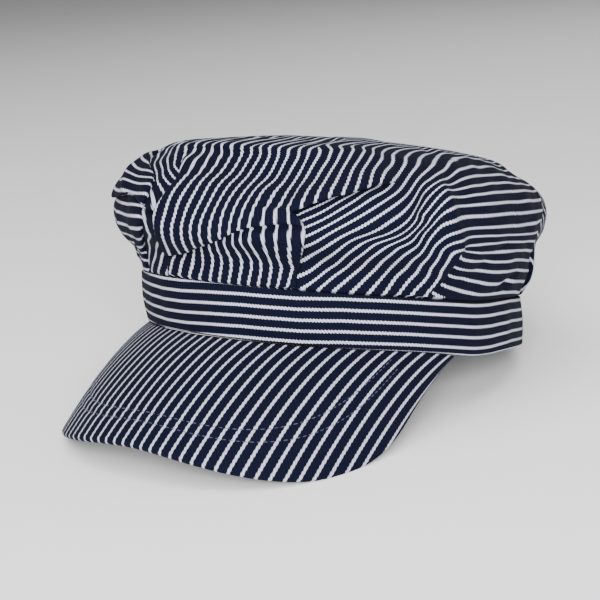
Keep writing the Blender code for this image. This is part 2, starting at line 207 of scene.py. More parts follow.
# Course of the stripes over the diagonal panel and the side on the wearer's left: the stripe
# number at each height and angle. The cloth beyond the side fold has its own low part.
LEFT_ANGLES = (16, 24, 28, 36, 44, 52, 58, 64, 70, 80, 95, 112)
LEFT_COURSE = (
    # height, number at each angle
    (0.024, 17.6, 19.4, 19.9, 21.8, 23.5, 25.4, 27.1, 28.6, 30.2, 33.4, 33.4, 33.2),
    (0.030, 16.8, 18.5, 19.0, 21.1, 23.1, 25.2, 26.9, 28.7, 30.0, 32.1, 32.2, 32.0),
    (0.036, 15.7, 17.4, 18.0, 20.0, 22.3, 24.4, 26.2, 28.3, 29.6, 30.8, 31.0, 30.8),
    (0.042, 14.3, 16.1, 16.8, 18.7, 20.6, 23.1, 24.6, 26.8, 28.5, 29.3, 29.7, 29.5),
    (0.048, 12.8, 14.8, 15.6, 17.6, 19.1, 20.9, 23.1, 25.7, 27.1, 27.7, 28.2, 28.3),
    (0.054, 11.3, 13.3, 14.3, 16.5, 18.3, 20.0, 22.5, 25.0, 25.6, 26.0, 26.5, 27.0),
    (0.060, 10.2, 12.2, 13.2, 15.4, 17.3, 19.2, 21.7, 23.9, 24.5, 24.8, 25.4, 26.0),
    (0.066, 9.4, 11.2, 12.2, 14.3, 16.1, 18.3, 20.8, 22.4, 23.0, 23.5, 24.2, 24.7),
    (0.072, 8.4, 10.0, 10.8, 12.9, 15.2, 17.4, 19.0, 20.3, 21.3, 22.1, 22.9, 23.4),
    (0.078, 7.4, 8.8, 9.7, 12.0, 14.4, 16.4, 17.7, 18.8, 19.9, 20.7, 21.2, 21.5),
    (0.082, 7.0, 8.3, 9.2, 11.3, 13.7, 15.7, 17.0, 18.1, 19.0, 19.7, 20.2, 20.4),
)
SIDE_COURSE = (
    # the low part of the side, beyond the fold: height, number at 60, 68, 76, 84, 95, 112 degrees
    (0.024, 34.4, 33.9, 33.5, 33.4, 33.4, 33.2),
    (0.030, 33.0, 32.5, 32.2, 32.0, 32.2, 32.0),
    (0.036, 31.5, 31.0, 30.8, 30.8, 31.0, 30.8),
    (0.042, 29.8, 29.5, 29.4, 29.3, 29.7, 29.5),
    (0.048, 27.4, 27.2, 27.4, 27.8, 28.2, 28.3),
)
SIDE_ANGLES = (60, 68, 76, 84, 95, 112)

# Course of the stripes on the wearer's right
RIGHT_ANGLES = (-117, -100, -80, -64, -52, -40, -28, -18)
RIGHT_COURSE = (
    (0.024, -29.2, -29.4, -29.2, -28.0, -26.6, -25.2, -25.0, -25.0),
    (0.033, -27.1, -27.3, -27.0, -25.6, -24.0, -22.8, -22.6, -22.6),
    (0.042, -25.0, -25.2, -24.8, -23.0, -21.4, -20.5, -20.2, -20.2),
    (0.050, -22.6, -22.9, -22.4, -20.8, -19.3, -18.7, -18.4, -18.3),
    (0.055, -21.4, -21.6, -21.0, -19.6, -18.2, -17.5, -17.3, -17.1),
    (0.060, -20.2, -20.6, -20.0, -18.6, -17.2, -16.4, -16.2, -15.9),
    (0.066, -18.8, -19.2, -18.6, -17.2, -15.8, -14.7, -14.0, -13.6),
    (0.072, -17.5, -17.8, -17.4, -16.0, -14.2, -12.7, -12.0, -11.6),
    (0.078, -16.3, -16.6, -16.4, -14.6, -12.2, -10.3, -9.4, -8.8),
    (0.082, -15.6, -16.0, -15.6, -13.4, -11.0, -9.0, -7.4, -6.2),
)
FAN_ANGLES = (-40, -32, -26, -20, -15, -11, -8)
FAN_COURSE = (
    # the recessed cloth between the tuck and the front panel
    (0.024, -12.6, -11.6, -10.6, -9.4, -8.4, -7.6, -7.0),
    (0.031, -13.2, -12.2, -11.0, -9.8, -8.8, -8.0, -7.4),
    (0.036, -14.0, -13.0, -12.0, -11.0, -10.0, -9.2, -8.6),
    (0.041, -14.6, -13.8, -13.1, -12.3, -11.5, -10.9, -10.3),
    (0.048, -14.4, -13.6, -12.9, -12.1, -11.3, -10.8, -10.4),
    (0.054, -13.8, -13.2, -12.6, -11.8, -11.1, -10.4, -10.0),
    (0.060, -13.4, -12.9, -12.4, -11.5, -10.3, -9.4, -8.9),
    (0.066, -12.8, -12.1, -11.4, -10.1, -8.5, -7.5, -7.0),
    (0.072, -11.6, -10.5, -9.1, -7.6, -6.1, -5.4, -5.0),
    (0.078, -9.9, -8.5, -7.1, -5.9, -5.0, -4.3, -3.7),
    (0.082, -9.0, -7.7, -6.3, -5.1, -4.2, -3.5, -2.9),
)

# Where the front panel's stripes lie across the cap, and how far each height shifts them
FRONT_STRIPES = (
    # number, x
    (-40, -0.1850), (-12, -0.0580), (-8, -0.0395), (-5, -0.0241), (-3, -0.0134), (0, 0.0015), (3, 0.0150),
    (6, 0.0273), (9, 0.0382), (12, 0.0477), (15, 0.0559), (18, 0.0627), (20, 0.0668), (30, 0.0870),
)
FRONT_SHIFTS = (
    # height, left spread per stripe, right shift
    (0.024, -0.0001, -0.0022),
    (0.030, 0.0001, -0.0015),
    (0.036, 0.0006, -0.0007),
    (0.042, 0.0015, 0.0013),
    (0.048, 0.0015, 0.0020),
    (0.054, 0.0010, 0.0018),
    (0.060, 0.0010, 0.0015),
    (0.066, 0.0009, 0.0013),
    (0.072, 0.0006, -0.0005),
    (0.078, 0.0004, -0.0015),
    (0.084, 0.0003, -0.0016),
)
VISOR_STRIPES = (
    # number from the middle, x
    (-27, -0.1000), (-23, -0.0898), (-21, -0.0842), (-19, -0.0778), (-17, -0.0712), (-15, -0.0648),
    (-13, -0.0580),
    (-11, -0.0500), (-8, -0.0368), (0, 0.0004), (8, 0.0368), (11, 0.0500), (13, 0.0580), (15, 0.0648),
    (17, 0.0710), (19, 0.0760), (21, 0.0800), (23, 0.0840),
)

# How far those stripes lean per metre in from the brim: in the middle, and at the wearer's right end
VISOR_LEAN = (0.060, 0.140)
VISOR_SHIFT = 0.0005          # to the wearer's left
VISOR_CORNER = -0.064         # beyond this x the lean stops following the brim
TOP_PITCH = 0.00413           # from stripe to stripe over the top, and the stripe number in its middle
TOP_MIDDLE = 1.85
TOP_BLEND = 0.22              # levels above the rim over which the wall's stripes give way to the top's
BACK_PITCH = 0.0047
BACK_MIDDLE = 0.0015
BAND_START = 0.55             # stripe number at the band's lower edge
HOOK_REACH = 0.0024           # how far the side's low stripes hook beside the side pleat
MIRRORED = -0.86              # the wearer's left stripes, turned over for the rear on the right
RIB_SLANT = 35.0

# Panels of the crown, each named for where it starts, in the order of FOLDS
FRONT, DIAGONAL, SIDE_LEFT, REAR_LEFT, BACK, REAR_RIGHT, SIDE_RIGHT, RIGHT, RECESS = range(9)

# How the cloth bends at a pleat or an overhanging crease
NOSE_REACH = 0.0008           # the rounded nose of the upper layer
OVERHANG = 0.0005             # how far the nose hangs past the slide
UNDER_SLIDE = 0.55            # share of the slide that the layer beneath still makes
UNDER_DENT = 0.4
LAP_AT_SEAM, LAP_GAIN = 0.55, 0.45
LAP_GROWTH = 0.4              # share of the pleat's height over which it reaches its full lap
LAP_REACH = 0.011
LAP_NOSE_DIP = 0.12
LAP_NOSE, LAP_UNDER = 0.60, 0.06
LAP_SINK, SINK_REACH = 0.0009, 0.005
LAP_SLIDE_REACH = 0.005
LAP_ZONE = 0.06
LIP_REACH = 0.012
LIP_NOSE_DIP = 0.10
LIP_NOSE, LIP_UNDER = 0.58, 0.05
LIP_SLIDE_REACH = 0.0045
STEEPEST_LIP = 1.2
FULL_COVER = 0.001            # slide from which a crease hides the cloth beneath it
CREASE_END = 0.15             # share of a crease's length over which it fades in and out
SEAM_HEIGHT = CROWN_SECTIONS[0][1]
SEAM_CALM, GATHER_REACH = 0.005, 0.007
MIDDLE_HEIGHT, MIDDLE_CALM = 0.0888, 0.0035
SAG_REACH = 0.012

# Mesh fineness of the crown
STRIP = 0.0003
STRIP_RUNS = (0.0, 0.0007, 0.0017, 0.0027)
LOW_ROWS = 26
MIDDLE_ROWS = 32
HIGH_ROWS = 32
TOP_ROWS = 24
INNER_ROWS = 14
INNER_TOP_ROWS = 7
HEM_ROWS = 4
TOP_END = 0.985
INNER_DEPTH, INNER_RELIEF = 2.2, 0.4

# Mesh fineness and small forms of the band and the visor
BAND_COLUMNS, BAND_ROWS = 480, 24
BAND_CREASE = 0.00018
BAND_RIPPLES = (
    # waves_round, phase, rise
    (23, 1.0, 0.00022),
    (41, 2.0, 0.00016),
)
VISOR_COLUMNS, VISOR_ROWS = 150, 56
GROOVE_DEPTH, GROOVE_WIDTH = 0.00030, 0.0008
THREAD_SINK = 0.00022
STITCH_SHARE = 0.70

TWILLS = {
    # piece: share of white, raggedness of the stripes, brightness of the white; the visor's dimmer white is
    # painted shade on the same cloth
    "crown": (0.23, 0.09, 1.00),
    "band": (0.24, 0.07, 1.00),
    "visor": (0.225, 0.05, 0.86),
}

# Floor, lights and camera
FLOOR_HALF = 6.0
STUDIO_LIGHT = 0.22
LIGHTS = (
    # name, place, turn, size, power
    ("key", (0.80, -1.20, 0.50), (72, 0, 34), 0.7, 50.0),
    ("top", (0.10, -0.75, 1.50), (27, 0, 8), 1.6, 34.0),
    ("back_floor", (0.0, 1.60, 1.60), (0, 0, 0), 1.6, 14.0),
)
CAMERA_LENS = 89.23
CAMERA_POSE = (
    (0.83436, -0.09852, 0.54234, 0.367),
    (0.5491, 0.23464, -0.80214, -0.54973),
    (-0.04823, 0.96708, 0.24987, 0.21333),
    (0.0, 0.0, 0.0, 1.0),
)


# --------------------------------------------------------------------------- shape helpers


def smooth_step(value):
    t = np.clip(value, 0.0, 1.0)
    return t * t * (3 - 2 * t)


def along(stations, values, at):
    """A smooth curve through values given at increasing stations."""
    stations = np.asarray(stations, float)
    values = np.asarray(values, float)
    slopes = np.gradient(values, stations, axis=0)
    i = np.clip(np.searchsorted(stations, at, side="right") - 1, 0, len(stations) - 2)
    length = stations[i + 1] - stations[i]
    t = (at - stations[i]) / length
    return (
        (2 * t**3 - 3 * t**2 + 1) * values[i]
        + (t**3 - 2 * t**2 + t) * length * slopes[i]
        + (3 * t**2 - 2 * t**3) * values[i + 1]
        + (t**3 - t**2) * length * slopes[i + 1]
    )


def turned(angle, about):
    """The angle's difference from another, between -180 and 180."""
    return (angle - about + 180) % 360 - 180


def oval(angle, front, back, half_width, squareness):
    """Point of an oval at an angle from the front toward the wearer's left."""
    turn = np.radians(angle)
    side, ahead = np.sin(turn), np.cos(turn)
    power = 2 / squareness
    x = half_width * np.sign(side) * np.maximum(np.abs(side), 1e-9) ** power
    y = (back - front) / 2 - (front + back) / 2 * np.sign(ahead) * np.maximum(np.abs(ahead), 1e-9) ** power
    return x, y


def crown_base(angle, level):
    """Point of the crown without folds; level runs from 0 at the seam to 1 at the middle."""
    stations = np.linspace(0, 1, len(CROWN_SECTIONS))
    columns = list(zip(*CROWN_SECTIONS))
    height, front, back, half_width, squareness = (along(stations, c, level) for c in columns[1:])
    x, y = oval(angle, front, back, half_width, squareness)
    return np.stack(np.broadcast_arrays(x, y, height), -1)


def crown_normal(angle, level):
    """Outward unit normal of the crown's base."""
    turn, rise = 0.5, 0.004
    low = np.clip(level - rise, 0, 0.985)
    high = np.clip(level + rise, 0.008, 0.993)
    mid = (low + high) / 2
    around = crown_base(angle + turn, mid) - crown_base(angle - turn, mid)
    up = crown_base(angle, high) - crown_base(angle, low)
    normal = np.cross(around, up)
    return normal / np.linalg.norm(normal, axis=-1, keepdims=True)


WALL_LEVELS = np.linspace(0, 0.66, 331)
WALL_HEIGHTS = crown_base(np.zeros_like(WALL_LEVELS), WALL_LEVELS)[:, 2]
RIM_LEVEL = float(np.interp(RIM_HEIGHT, WALL_HEIGHTS, WALL_LEVELS))


def level_of(height):
    return np.interp(height, WALL_HEIGHTS, WALL_LEVELS)


def band_drop(angle, height):
    """How far the waves beside the ears let the band hang."""
    share = height / BAND_HEIGHT
    total = 0.0 * angle
    for _, at, spread, lower_drop, upper_drop in BAND_WAVES:
        bell = np.exp(-((turned(angle, at) / spread) ** 2))
        total = total + bell * (lower_drop + (upper_drop - lower_drop) * share)
    return total


def band_ring(angle, height, inset):
    """A row round the band, moved in from its outer face, at a height above its lower edge."""
    x, y = oval(angle, BAND_LENGTH / 2 - inset, BAND_LENGTH / 2 - inset, BAND_WIDTH / 2 - inset, 2.0)
    y = y - BAND_LEAN * height / BAND_HEIGHT
    return np.stack([x, y, height - band_drop(angle, height)], -1)


def set_down(points):
    """Points of the cap's own frame, tilted back and set on the table."""
    turn = np.array(Matrix.Rotation(PITCH, 3, "X"))
    placed = points @ turn.T + np.array(REST_PLACE)
    placed[..., 2] = np.maximum(placed[..., 2], 0.0)
    return placed


def grid_faces(rows, columns, wrap):
    """Corner indices of the quads of a grid, row by row, seen from outside the grid."""
    i = np.arange(rows - 1)[:, None]
    j = np.arange(columns if wrap else columns - 1)[None, :]
    k = (j + 1) % columns
    corners = (i * columns + j, i * columns + k, (i + 1) * columns + k, (i + 1) * columns + j)
    return np.stack(np.broadcast_arrays(*corners), -1).reshape(-1, 4)


def cloth_mesh(name, points, faces, weave, finish):
    """A mesh object from points, quads or triangles, and one UV pair for every face corner."""
    data = bpy.data.meshes.new(name)
    data.from_pydata(points.tolist(), [], [list(face) for face in faces])
    layer = data.uv_layers.new(name="weave")
    layer.data.foreach_set("uv", np.asarray(weave, np.float32).ravel())
    data.materials.append(finish)
    data.shade_smooth()
    data.validate()
    data.update()
    obj = bpy.data.objects.new(name, data)
    bpy.context.scene.collection.objects.link(obj)
    return obj


# --------------------------------------------------------------------------- crown


def fold_angle(fold, level):
    """Where a pleat's fold, and the line that carries it on to the top, lies at each level."""
    heights, angles = zip(*fold[1])
    levels = level_of(np.array(heights))
    below = along(levels, angles, np.minimum(level, levels[-1]))
    beyond = smooth_step((level - levels[-1]) / max(RIM_LEVEL - levels[-1], 0.05))
    return below + (fold[2] - angles[-1]) * beyond


def level_line(line, angle):
    """Height of one of the two level lines at an angle, round the whole cap."""
    table = np.array(line, float)
    stations = np.concatenate([table[-3:, 0] - 360, table[:, 0], table[:3, 0] + 360])
    heights = np.concatenate([table[-3:, 1], table[:, 1], table[:3, 1]])
    start = table[0, 0]
    return along(stations, heights, start + (angle - start) % 360)


class CrownGrid:
    """The crown's outer face as rows and columns of angles and levels, with its strips."""

    def __init__(self):
        self.starts = []           # first column of each panel; two strip columns follow every panel
        self.count = 0
        for fold in FOLDS:
            self.starts.append(self.count)
            self.count += fold[-1] + 2
        self.make_rows()

    def column_angles(self, level):
        """Angles of all columns; level may be one number or one for each column."""
        level = np.broadcast_to(np.asarray(level, float), (self.count,))
        angles = np.zeros(self.count)
        half = math.degrees(STRIP / MEAN_RADIUS)
        for k, fold in enumerate(FOLDS):
            at, count = self.starts[k], fold[-1]
            here = slice(at, at + count)
            after = FOLDS[(k + 1) % len(FOLDS)]
            lap = 360 if k == len(FOLDS) - 1 else 0
            first = fold_angle(fold, level[here]) + half
            last = fold_angle(after, level[here]) + lap - half
            share = np.linspace(0, 1, count)
            angles[here] = first + (last - first) * share
            for n, depth in enumerate((-1 / 3, 1 / 3)):
                j = at + count + n
                angles[j] = fold_angle(after, level[j]) + lap + depth * half
        return angles

    def make_rows(self):
        """Heights of the wall's rows at every column, bent to follow the two level lines."""
        lines = []
        for line in (LOWER_LINE, UPPER_LINE):
            angles = self.column_angles(0.3)
            for _ in range(16):
                angles = mix(angles, self.column_angles(level_of(level_line(line, angles))), 0.5)
            lines.append(level_line(line, angles))
        lower, upper = lines
        bands = (
            (SEAM_HEIGHT, lower - STRIP, LOW_ROWS),
            (lower + STRIP, upper - STRIP, MIDDLE_ROWS),
            (upper + STRIP, RIM_HEIGHT, HIGH_ROWS),
        )
        heights = []
        for n, (low, high, count) in enumerate(bands):
            heights += [low + (high - low) * t for t in np.linspace(0, 1, count)]
            if n < 2:
                heights += [lines[n] - STRIP / 3, lines[n] + STRIP / 3]
        heights = np.array(heights)
        levels = level_of(heights)
        grid = np.array([self.column_angles(row) for row in levels])
        top = np.linspace(RIM_LEVEL, TOP_END, TOP_ROWS + 1)[1:]
        self.wall = len(heights)
        self.level = np.concatenate([levels, np.repeat(top[:, None], self.count, 1)])
        top_heights = crown_base(np.zeros_like(top), top)[:, 2]
        self.height = np.concatenate([heights, np.repeat(top_heights[:, None], self.count, 1)])
        self.angle = np.concatenate([grid, [self.column_angles(value) for value in top]])
        self.low_line = LOW_ROWS           # row index of the first strip row of each line
        self.high_line = LOW_ROWS + 2 + MIDDLE_ROWS


def crease_relief(angle, height):
    """How far creases, swells and small ripples move the cloth outward."""
    total = np.zeros(np.broadcast(angle, height).shape)
    for _, a0, z0, a1, z1, dent, width, step, reach in CREASES:
        run = np.array([math.radians(a1 - a0) * MEAN_RADIUS, z1 - z0])
        length = np.hypot(*run)
        ahead = run / length
        dx = np.radians(turned(angle, a0)) * MEAN_RADIUS
        dz = height - z0
        t = (dx * ahead[0] + dz * ahead[1]) / length
        side = dz * ahead[0] - dx * ahead[1]
        starts = smooth_step((t + CREASE_END) / (2 * CREASE_END))
        fade = starts * smooth_step((1 + CREASE_END - t) / (2 * CREASE_END))
        shape = dent * np.exp(-((side / width) ** 2))
        shape = shape + step * smooth_step(side / width + 0.5) * np.exp(-np.maximum(side, 0) / reach)
        total = total + fade * shape
    for _, a0, z0, spread_round, spread_up, rise in SWELLS:
        dx = np.radians(turned(angle, a0)) * MEAN_RADIUS / spread_round
        dz = (height - z0) / spread_up
        total = total + rise * np.exp(-(dx**2) - dz**2)
    for waves, up, phase, rise in RIPPLES:
        total = total + rise * np.sin(np.radians(angle) * waves + height * up * 2 * np.pi + phase)
    for waves, phase, rise in GATHERS:
        wave = rise * np.sin(np.radians(angle) * waves + phase)
        total = total + wave * np.exp(-(height - SEAM_HEIGHT) / GATHER_REACH)
    calm_seam = smooth_step((height - SEAM_HEIGHT) / SEAM_CALM)
    calm_middle = smooth_step((MIDDLE_HEIGHT - height) / MIDDLE_CALM)
    return total * calm_seam * calm_middle


def lip_moves(grid):
    """Outward, downhill and sideways moves of the overhanging creases, and how far each line is covered."""
    out, down, sideways = (np.zeros_like(grid.angle) for _ in range(3))
    covers = [np.zeros(grid.count), np.zeros(grid.count)]
    for _, line, a0, a1, fade0, fade1, drop, step, dent, width in LIPS:
        table = (LOWER_LINE, UPPER_LINE)[line]
        angle = turned(grid.angle, (a0 + a1) / 2) + (a0 + a1) / 2
        at = level_line(table, grid.angle)
        climb = level_line(table, grid.angle + 0.5) - level_line(table, grid.angle - 0.5)
        lean = np.arctan(np.clip(climb / (math.radians(1.0) * MEAN_RADIUS), -STEEPEST_LIP, STEEPEST_LIP))
        side = (grid.height - at) * np.cos(lean)
        strength = smooth_step((angle - a0 + fade0) / fade0) * smooth_step((a1 + fade1 - angle) / fade1)
        above = side > 0
        beside = np.maximum(side - STRIP, 0)
        lifted = step * np.exp(-np.maximum(side, 0) / LIP_REACH)
        lifted = lifted * (1 - LIP_NOSE_DIP * np.exp(-beside / NOSE_REACH))
        shape = np.where(above, lifted, -dent * np.exp(-((side / width) ** 2)))
        fall = np.where(above, drop * np.exp(-beside / LIP_SLIDE_REACH), 0.0)
        row = (grid.low_line, grid.high_line)[line]
        covers[line] += strength[row] * min(1.0, drop / FULL_COVER)
        shape[row + 1] = LIP_NOSE * step
        fall[row + 1] = drop + OVERHANG
        shape[row] = LIP_UNDER * step - UNDER_DENT * dent
        fall[row] = UNDER_SLIDE * drop
        out += strength * shape
        down += strength * fall * np.cos(lean)
        sideways += strength * fall * np.sin(lean)
    return out, down, sideways, covers


def fold_moves(grid):
    """Outward and sideways moves of the pleats, and how far each fold's layers part at each row."""
    out = np.zeros_like(grid.angle)
    sideways = np.zeros_like(grid.angle)
    covers = []
    for k, (_, path, _, fading, lap, over, tuck, _) in enumerate(FOLDS):
        tip_height = path[-1][0]
        line = fold_angle(FOLDS[k], grid.level)
        away = np.radians(turned(grid.angle, line)) * MEAN_RADIUS * over
        growth = smooth_step(grid.level / (LAP_GROWTH * float(level_of(tip_height))))
        rise = lap * (LAP_AT_SEAM + LAP_GAIN * growth)
        fade = smooth_step((tip_height - grid.height) / fading)
        upper = away > 0
        beside = np.maximum(away - STRIP, 0)
        lifted = rise * np.exp(-((away / LAP_REACH) ** 2)) * (1 - LAP_NOSE_DIP * np.exp(-beside / NOSE_REACH))
        shape = np.where(upper, lifted, -LAP_SINK * np.exp(-((away / SINK_REACH) ** 2)))
        move = np.where(upper, tuck * np.exp(-beside / LAP_SLIDE_REACH), 0.0)
        first = grid.starts[k - 1] + FOLDS[k - 1][-1]
        nose, under = (first, first + 1) if over == -1 else (first + 1, first)
        covers.append(fade[:, nose])
        shape[:, nose] = LAP_NOSE * rise[:, nose]
        move[:, nose] = tuck + OVERHANG
        shape[:, under] = LAP_UNDER * rise[:, under]
        move[:, under] = UNDER_SLIDE * tuck
        near = np.abs(away) < LAP_ZONE
        out += np.where(near, fade * shape, 0)
        sideways += np.where(near, -over * fade * move, 0)
    return out, sideways, covers


def gentle(stations, rows, at, pick):
    """A smooth curve through rows of values that never swings past them. pick reads rows by index."""
    length = np.diff(stations)
    rise = np.diff(rows, axis=0) / length.reshape(-1, *[1] * (rows.ndim - 1))
    both = rise[:-1] * rise[1:]
    middle = np.where(both > 0, 2 * both / np.where(both > 0, rise[:-1] + rise[1:], 1.0), 0.0)
    slopes = np.concatenate([rise[:1], middle, rise[-1:]])
    i = np.clip(np.searchsorted(stations, at, side="right") - 1, 0, len(stations) - 2)
    t = np.clip((at - stations[i]) / length[i], 0, 1)
    return (
        (2 * t**3 - 3 * t**2 + 1) * pick(rows, i)
        + (t**3 - 2 * t**2 + t) * length[i] * pick(slopes, i)
        + (3 * t**2 - 2 * t**3) * pick(rows, i + 1)
        + (t**3 - t**2) * length[i] * pick(slopes, i + 1)
    )


def table_value(course, stations, angle, height):
    """Smooth value of a table of heights and angles, at any angle and height."""
    table = np.array(course, float)
    stations = np.array(stations, float)
    by_angle = np.array([gentle(stations, row[1:], angle, lambda values, i: values[i]) for row in table])
    return gentle(table[:, 0], by_angle, height, lambda values, i: np.take_along_axis(values, i[None], 0)[0])


def front_number(x, height):
    """Stripe number on the front panel and the rim above it, where the stripes run front to back."""
    numbers, places = zip(*FRONT_STRIPES)
    heights, spread, shift = (np.array(c) for c in zip(*FRONT_SHIFTS))
    per_stripe = np.interp(height, heights, spread)
    right = np.interp(height, heights, shift)
    number = np.interp(x, places, numbers)
    for _ in range(8):
        move = per_stripe * np.clip(number - 5, 0, 16) + right * np.clip(-number / 4, 0, 1)
        number = 0.5 * number + 0.5 * np.interp(x - move, places, numbers)
    return number


def mix(a, b, share):
    return a + (b - a) * share


def stripe_number(panel, above, angle, height, level):
    """Stripe number of a panel's cloth. above tells the cloth over the upper line from the rest."""
    x = crown_base(angle, level)[..., 0]
    angle = turned(angle, 0)

    def left(at):
        return table_value(LEFT_COURSE, LEFT_ANGLES, at, height)

    def right(at):
        return table_value(RIGHT_COURSE, RIGHT_ANGLES, at, height)

    def ramp(value, start, run):
        return smooth_step((value - start) / run)

    if panel == FRONT:
        number = front_number(x, height)
    elif panel in (DIAGONAL, SIDE_LEFT):
        number = left(angle)
        if above:
            share = ramp(angle, 38, 10)
            share = share + (1 - share) * ramp(height, 0.0795, 0.003)
            number = mix(front_number(x, height), number, share)
        if panel == SIDE_LEFT:
            low = table_value(SIDE_COURSE, SIDE_ANGLES, angle, height)
            away = np.radians(angle - fold_angle(FOLDS[SIDE_LEFT], level)) * MEAN_RADIUS
            hook = np.exp(-np.maximum(away, 0) / HOOK_REACH)
            number = mix(low + hook, number, ramp(height, 0.0425, 0.0045))
    elif panel == REAR_LEFT:
        behind = left(180 - angle)
        high = mix(left(angle), behind, ramp(angle, 104, 18))
        number = mix(behind, high, ramp(height, 0.040, 0.010))
        number = mix(number, front_number(x, height), ramp(angle, 142, 16) * ramp(height, 0.048, 0.012))
    elif panel == BACK:
        across = (x - BACK_MIDDLE) / BACK_PITCH
        number = mix(front_number(x, height), across, smooth_step((0.004 - x) / 0.008))
    elif panel == REAR_RIGHT:
        behind = MIRRORED * left(angle + 180)
        high = ramp(height, 0.044, 0.012)
        number = mix(behind, mix(behind, right(angle), ramp(angle, -128, 14)), high)
        number = mix(number, (x - BACK_MIDDLE) / BACK_PITCH, smooth_step((-142 - angle) / 14) * high)
    elif panel in (SIDE_RIGHT, RIGHT):
        number = right(angle)
        if panel == SIDE_RIGHT:
            number = number - 1.6 * smooth_step((0.042 - height) / 0.010) * ramp(angle, -90, 20)
    else:
        number = table_value(FAN_COURSE, FAN_ANGLES, angle, height)
        number = mix(number, front_number(x, height), ramp(height, 0.074, 0.005) * ramp(angle, -23, 6))
    over_top = TOP_MIDDLE + x / TOP_PITCH
    share = smooth_step((level - RIM_LEVEL) / TOP_BLEND)
    sides = np.maximum(ramp(angle, 75, 20), smooth_step((-24 - angle) / 12))
    sides = sides * smooth_step((158 - np.abs(angle)) / 16)
    rim_x = crown_base(angle, RIM_LEVEL)[..., 0]
    inward = np.where(level > RIM_LEVEL, (x - rim_x) / TOP_PITCH, 0.0)
    return mix(number, over_top, share) + sides * (1 - share) * inward


def rib_wall(angle, height, pitch):
    slant = math.radians(RIB_SLANT)
    return (np.radians(angle) * MEAN_RADIUS * math.cos(slant) + height * math.sin(slant)) / pitch


def crown_weave(grid, angles, heights, fold_covers, lip_covers, pitch):
    """Stripe number and rib place for the four corners of every face of the outer crown.

    angles and heights tell where the folds have moved each point. Where a layer lies over another,
    the cloth between the fold's nose and the layer beneath keeps the upper layer's stripes, so that
    the change from one to the other stays out of sight.
    """
    rows, count = grid.angle.shape
    weave = np.zeros((rows - 1, count, 4, 2))
    slant = math.radians(RIB_SLANT)
    runs = np.degrees(np.array(STRIP_RUNS) / MEAN_RADIUS)
    face_rows = np.arange(rows - 1)
    above = face_rows >= grid.high_line - 1
    for j in range(count):
        k = max(n for n, start in enumerate(grid.starts) if j >= start)
        inside = j - grid.starts[k] - (FOLDS[k][-1] - 1)
        after = (k + 1) % len(FOLDS)
        over = FOLDS[after][5]
        for c, (r, step) in enumerate(((0, 0), (0, 1), (1, 1), (1, 0))):
            column = (j + step) % count
            here = slice(r, rows - 1 + r)
            angle = angles[here, column] + (360 if j + step >= count else 0)
            panel = k
            if inside >= 0:
                panel = k if over == -1 else after
                edge = grid.starts[k] + FOLDS[k][-1] - 1 if over == -1 else grid.starts[after]
                depth = inside + step if over == -1 else 3 - inside - step
                hidden = angles[here, edge] + (360 if over == 1 and after == 0 else 0) - over * runs[depth]
                angle = mix(angle, hidden, fold_covers[after][here])
            height = heights[here, column].copy()
            for first, cover in zip((grid.low_line, grid.high_line), lip_covers):
                for n in range(3):
                    hidden = heights[first + 2, column] - STRIP_RUNS[3 - n - r]
                    height[first - 1 + n] = mix(height[first - 1 + n], hidden, cover[column])
            level = np.where(face_rows + r < grid.wall, level_of(height), grid.level[here, column])
            low = stripe_number(panel, False, angle, height, level)
            high = stripe_number(panel, True, angle, height, level)
            weave[:, j, c, 0] = np.where(above, high, low)
            flat = crown_base(angle, level)
            over_top = (flat[:, 0] * math.cos(slant) - flat[:, 1] * math.sin(slant)) / pitch
            weave[:, j, c, 1] = np.where(face_rows >= grid.wall - 1, over_top, rib_wall(angle, height, pitch))
    return weave


def crown_sag(angle, height):
    """How far the crown hangs with the band near the seam."""
    return band_drop(angle, BAND_HEIGHT) * smooth_step(1 - (height - BAND_HEIGHT) / SAG_REACH)


def crown_inside(grid, seam_angles):
    """Rows of points from the seam down inside the band, round the hem and up the crown's inner face."""
    inset = BAND_WALL + SEWN_GAP
    hem, neck = BAND_HEIGHT - TUCK_DEPTH, BAND_HEIGHT + SEWN_GAP
    rows = [band_ring(seam_angles, BAND_HEIGHT + 2 * SEWN_GAP, 0.0010), band_ring(seam_angles, neck, 0.0016)]
    rows += [band_ring(seam_angles, z, inset) for z in (neck, hem)]
    rows += [band_ring(seam_angles, z, inset + CROWN_WALL) for z in (hem, neck)]
    on_top = np.linspace(RIM_LEVEL, TOP_END, INNER_TOP_ROWS)[1:]
    for value in np.concatenate([np.linspace(0, RIM_LEVEL, INNER_ROWS), on_top]):
        angles = grid.column_angles(value)
        base = crown_base(angles, value)
        relief = np.minimum(INNER_RELIEF * crease_relief(angles, base[:, 2]), 0.001)
        row = base + crown_normal(angles, value) * (relief - INNER_DEPTH * CROWN_WALL)[:, None]
        row[:, 2] -= crown_sag(angles, base[:, 2])
        rows.append(row)
    return np.array(rows)


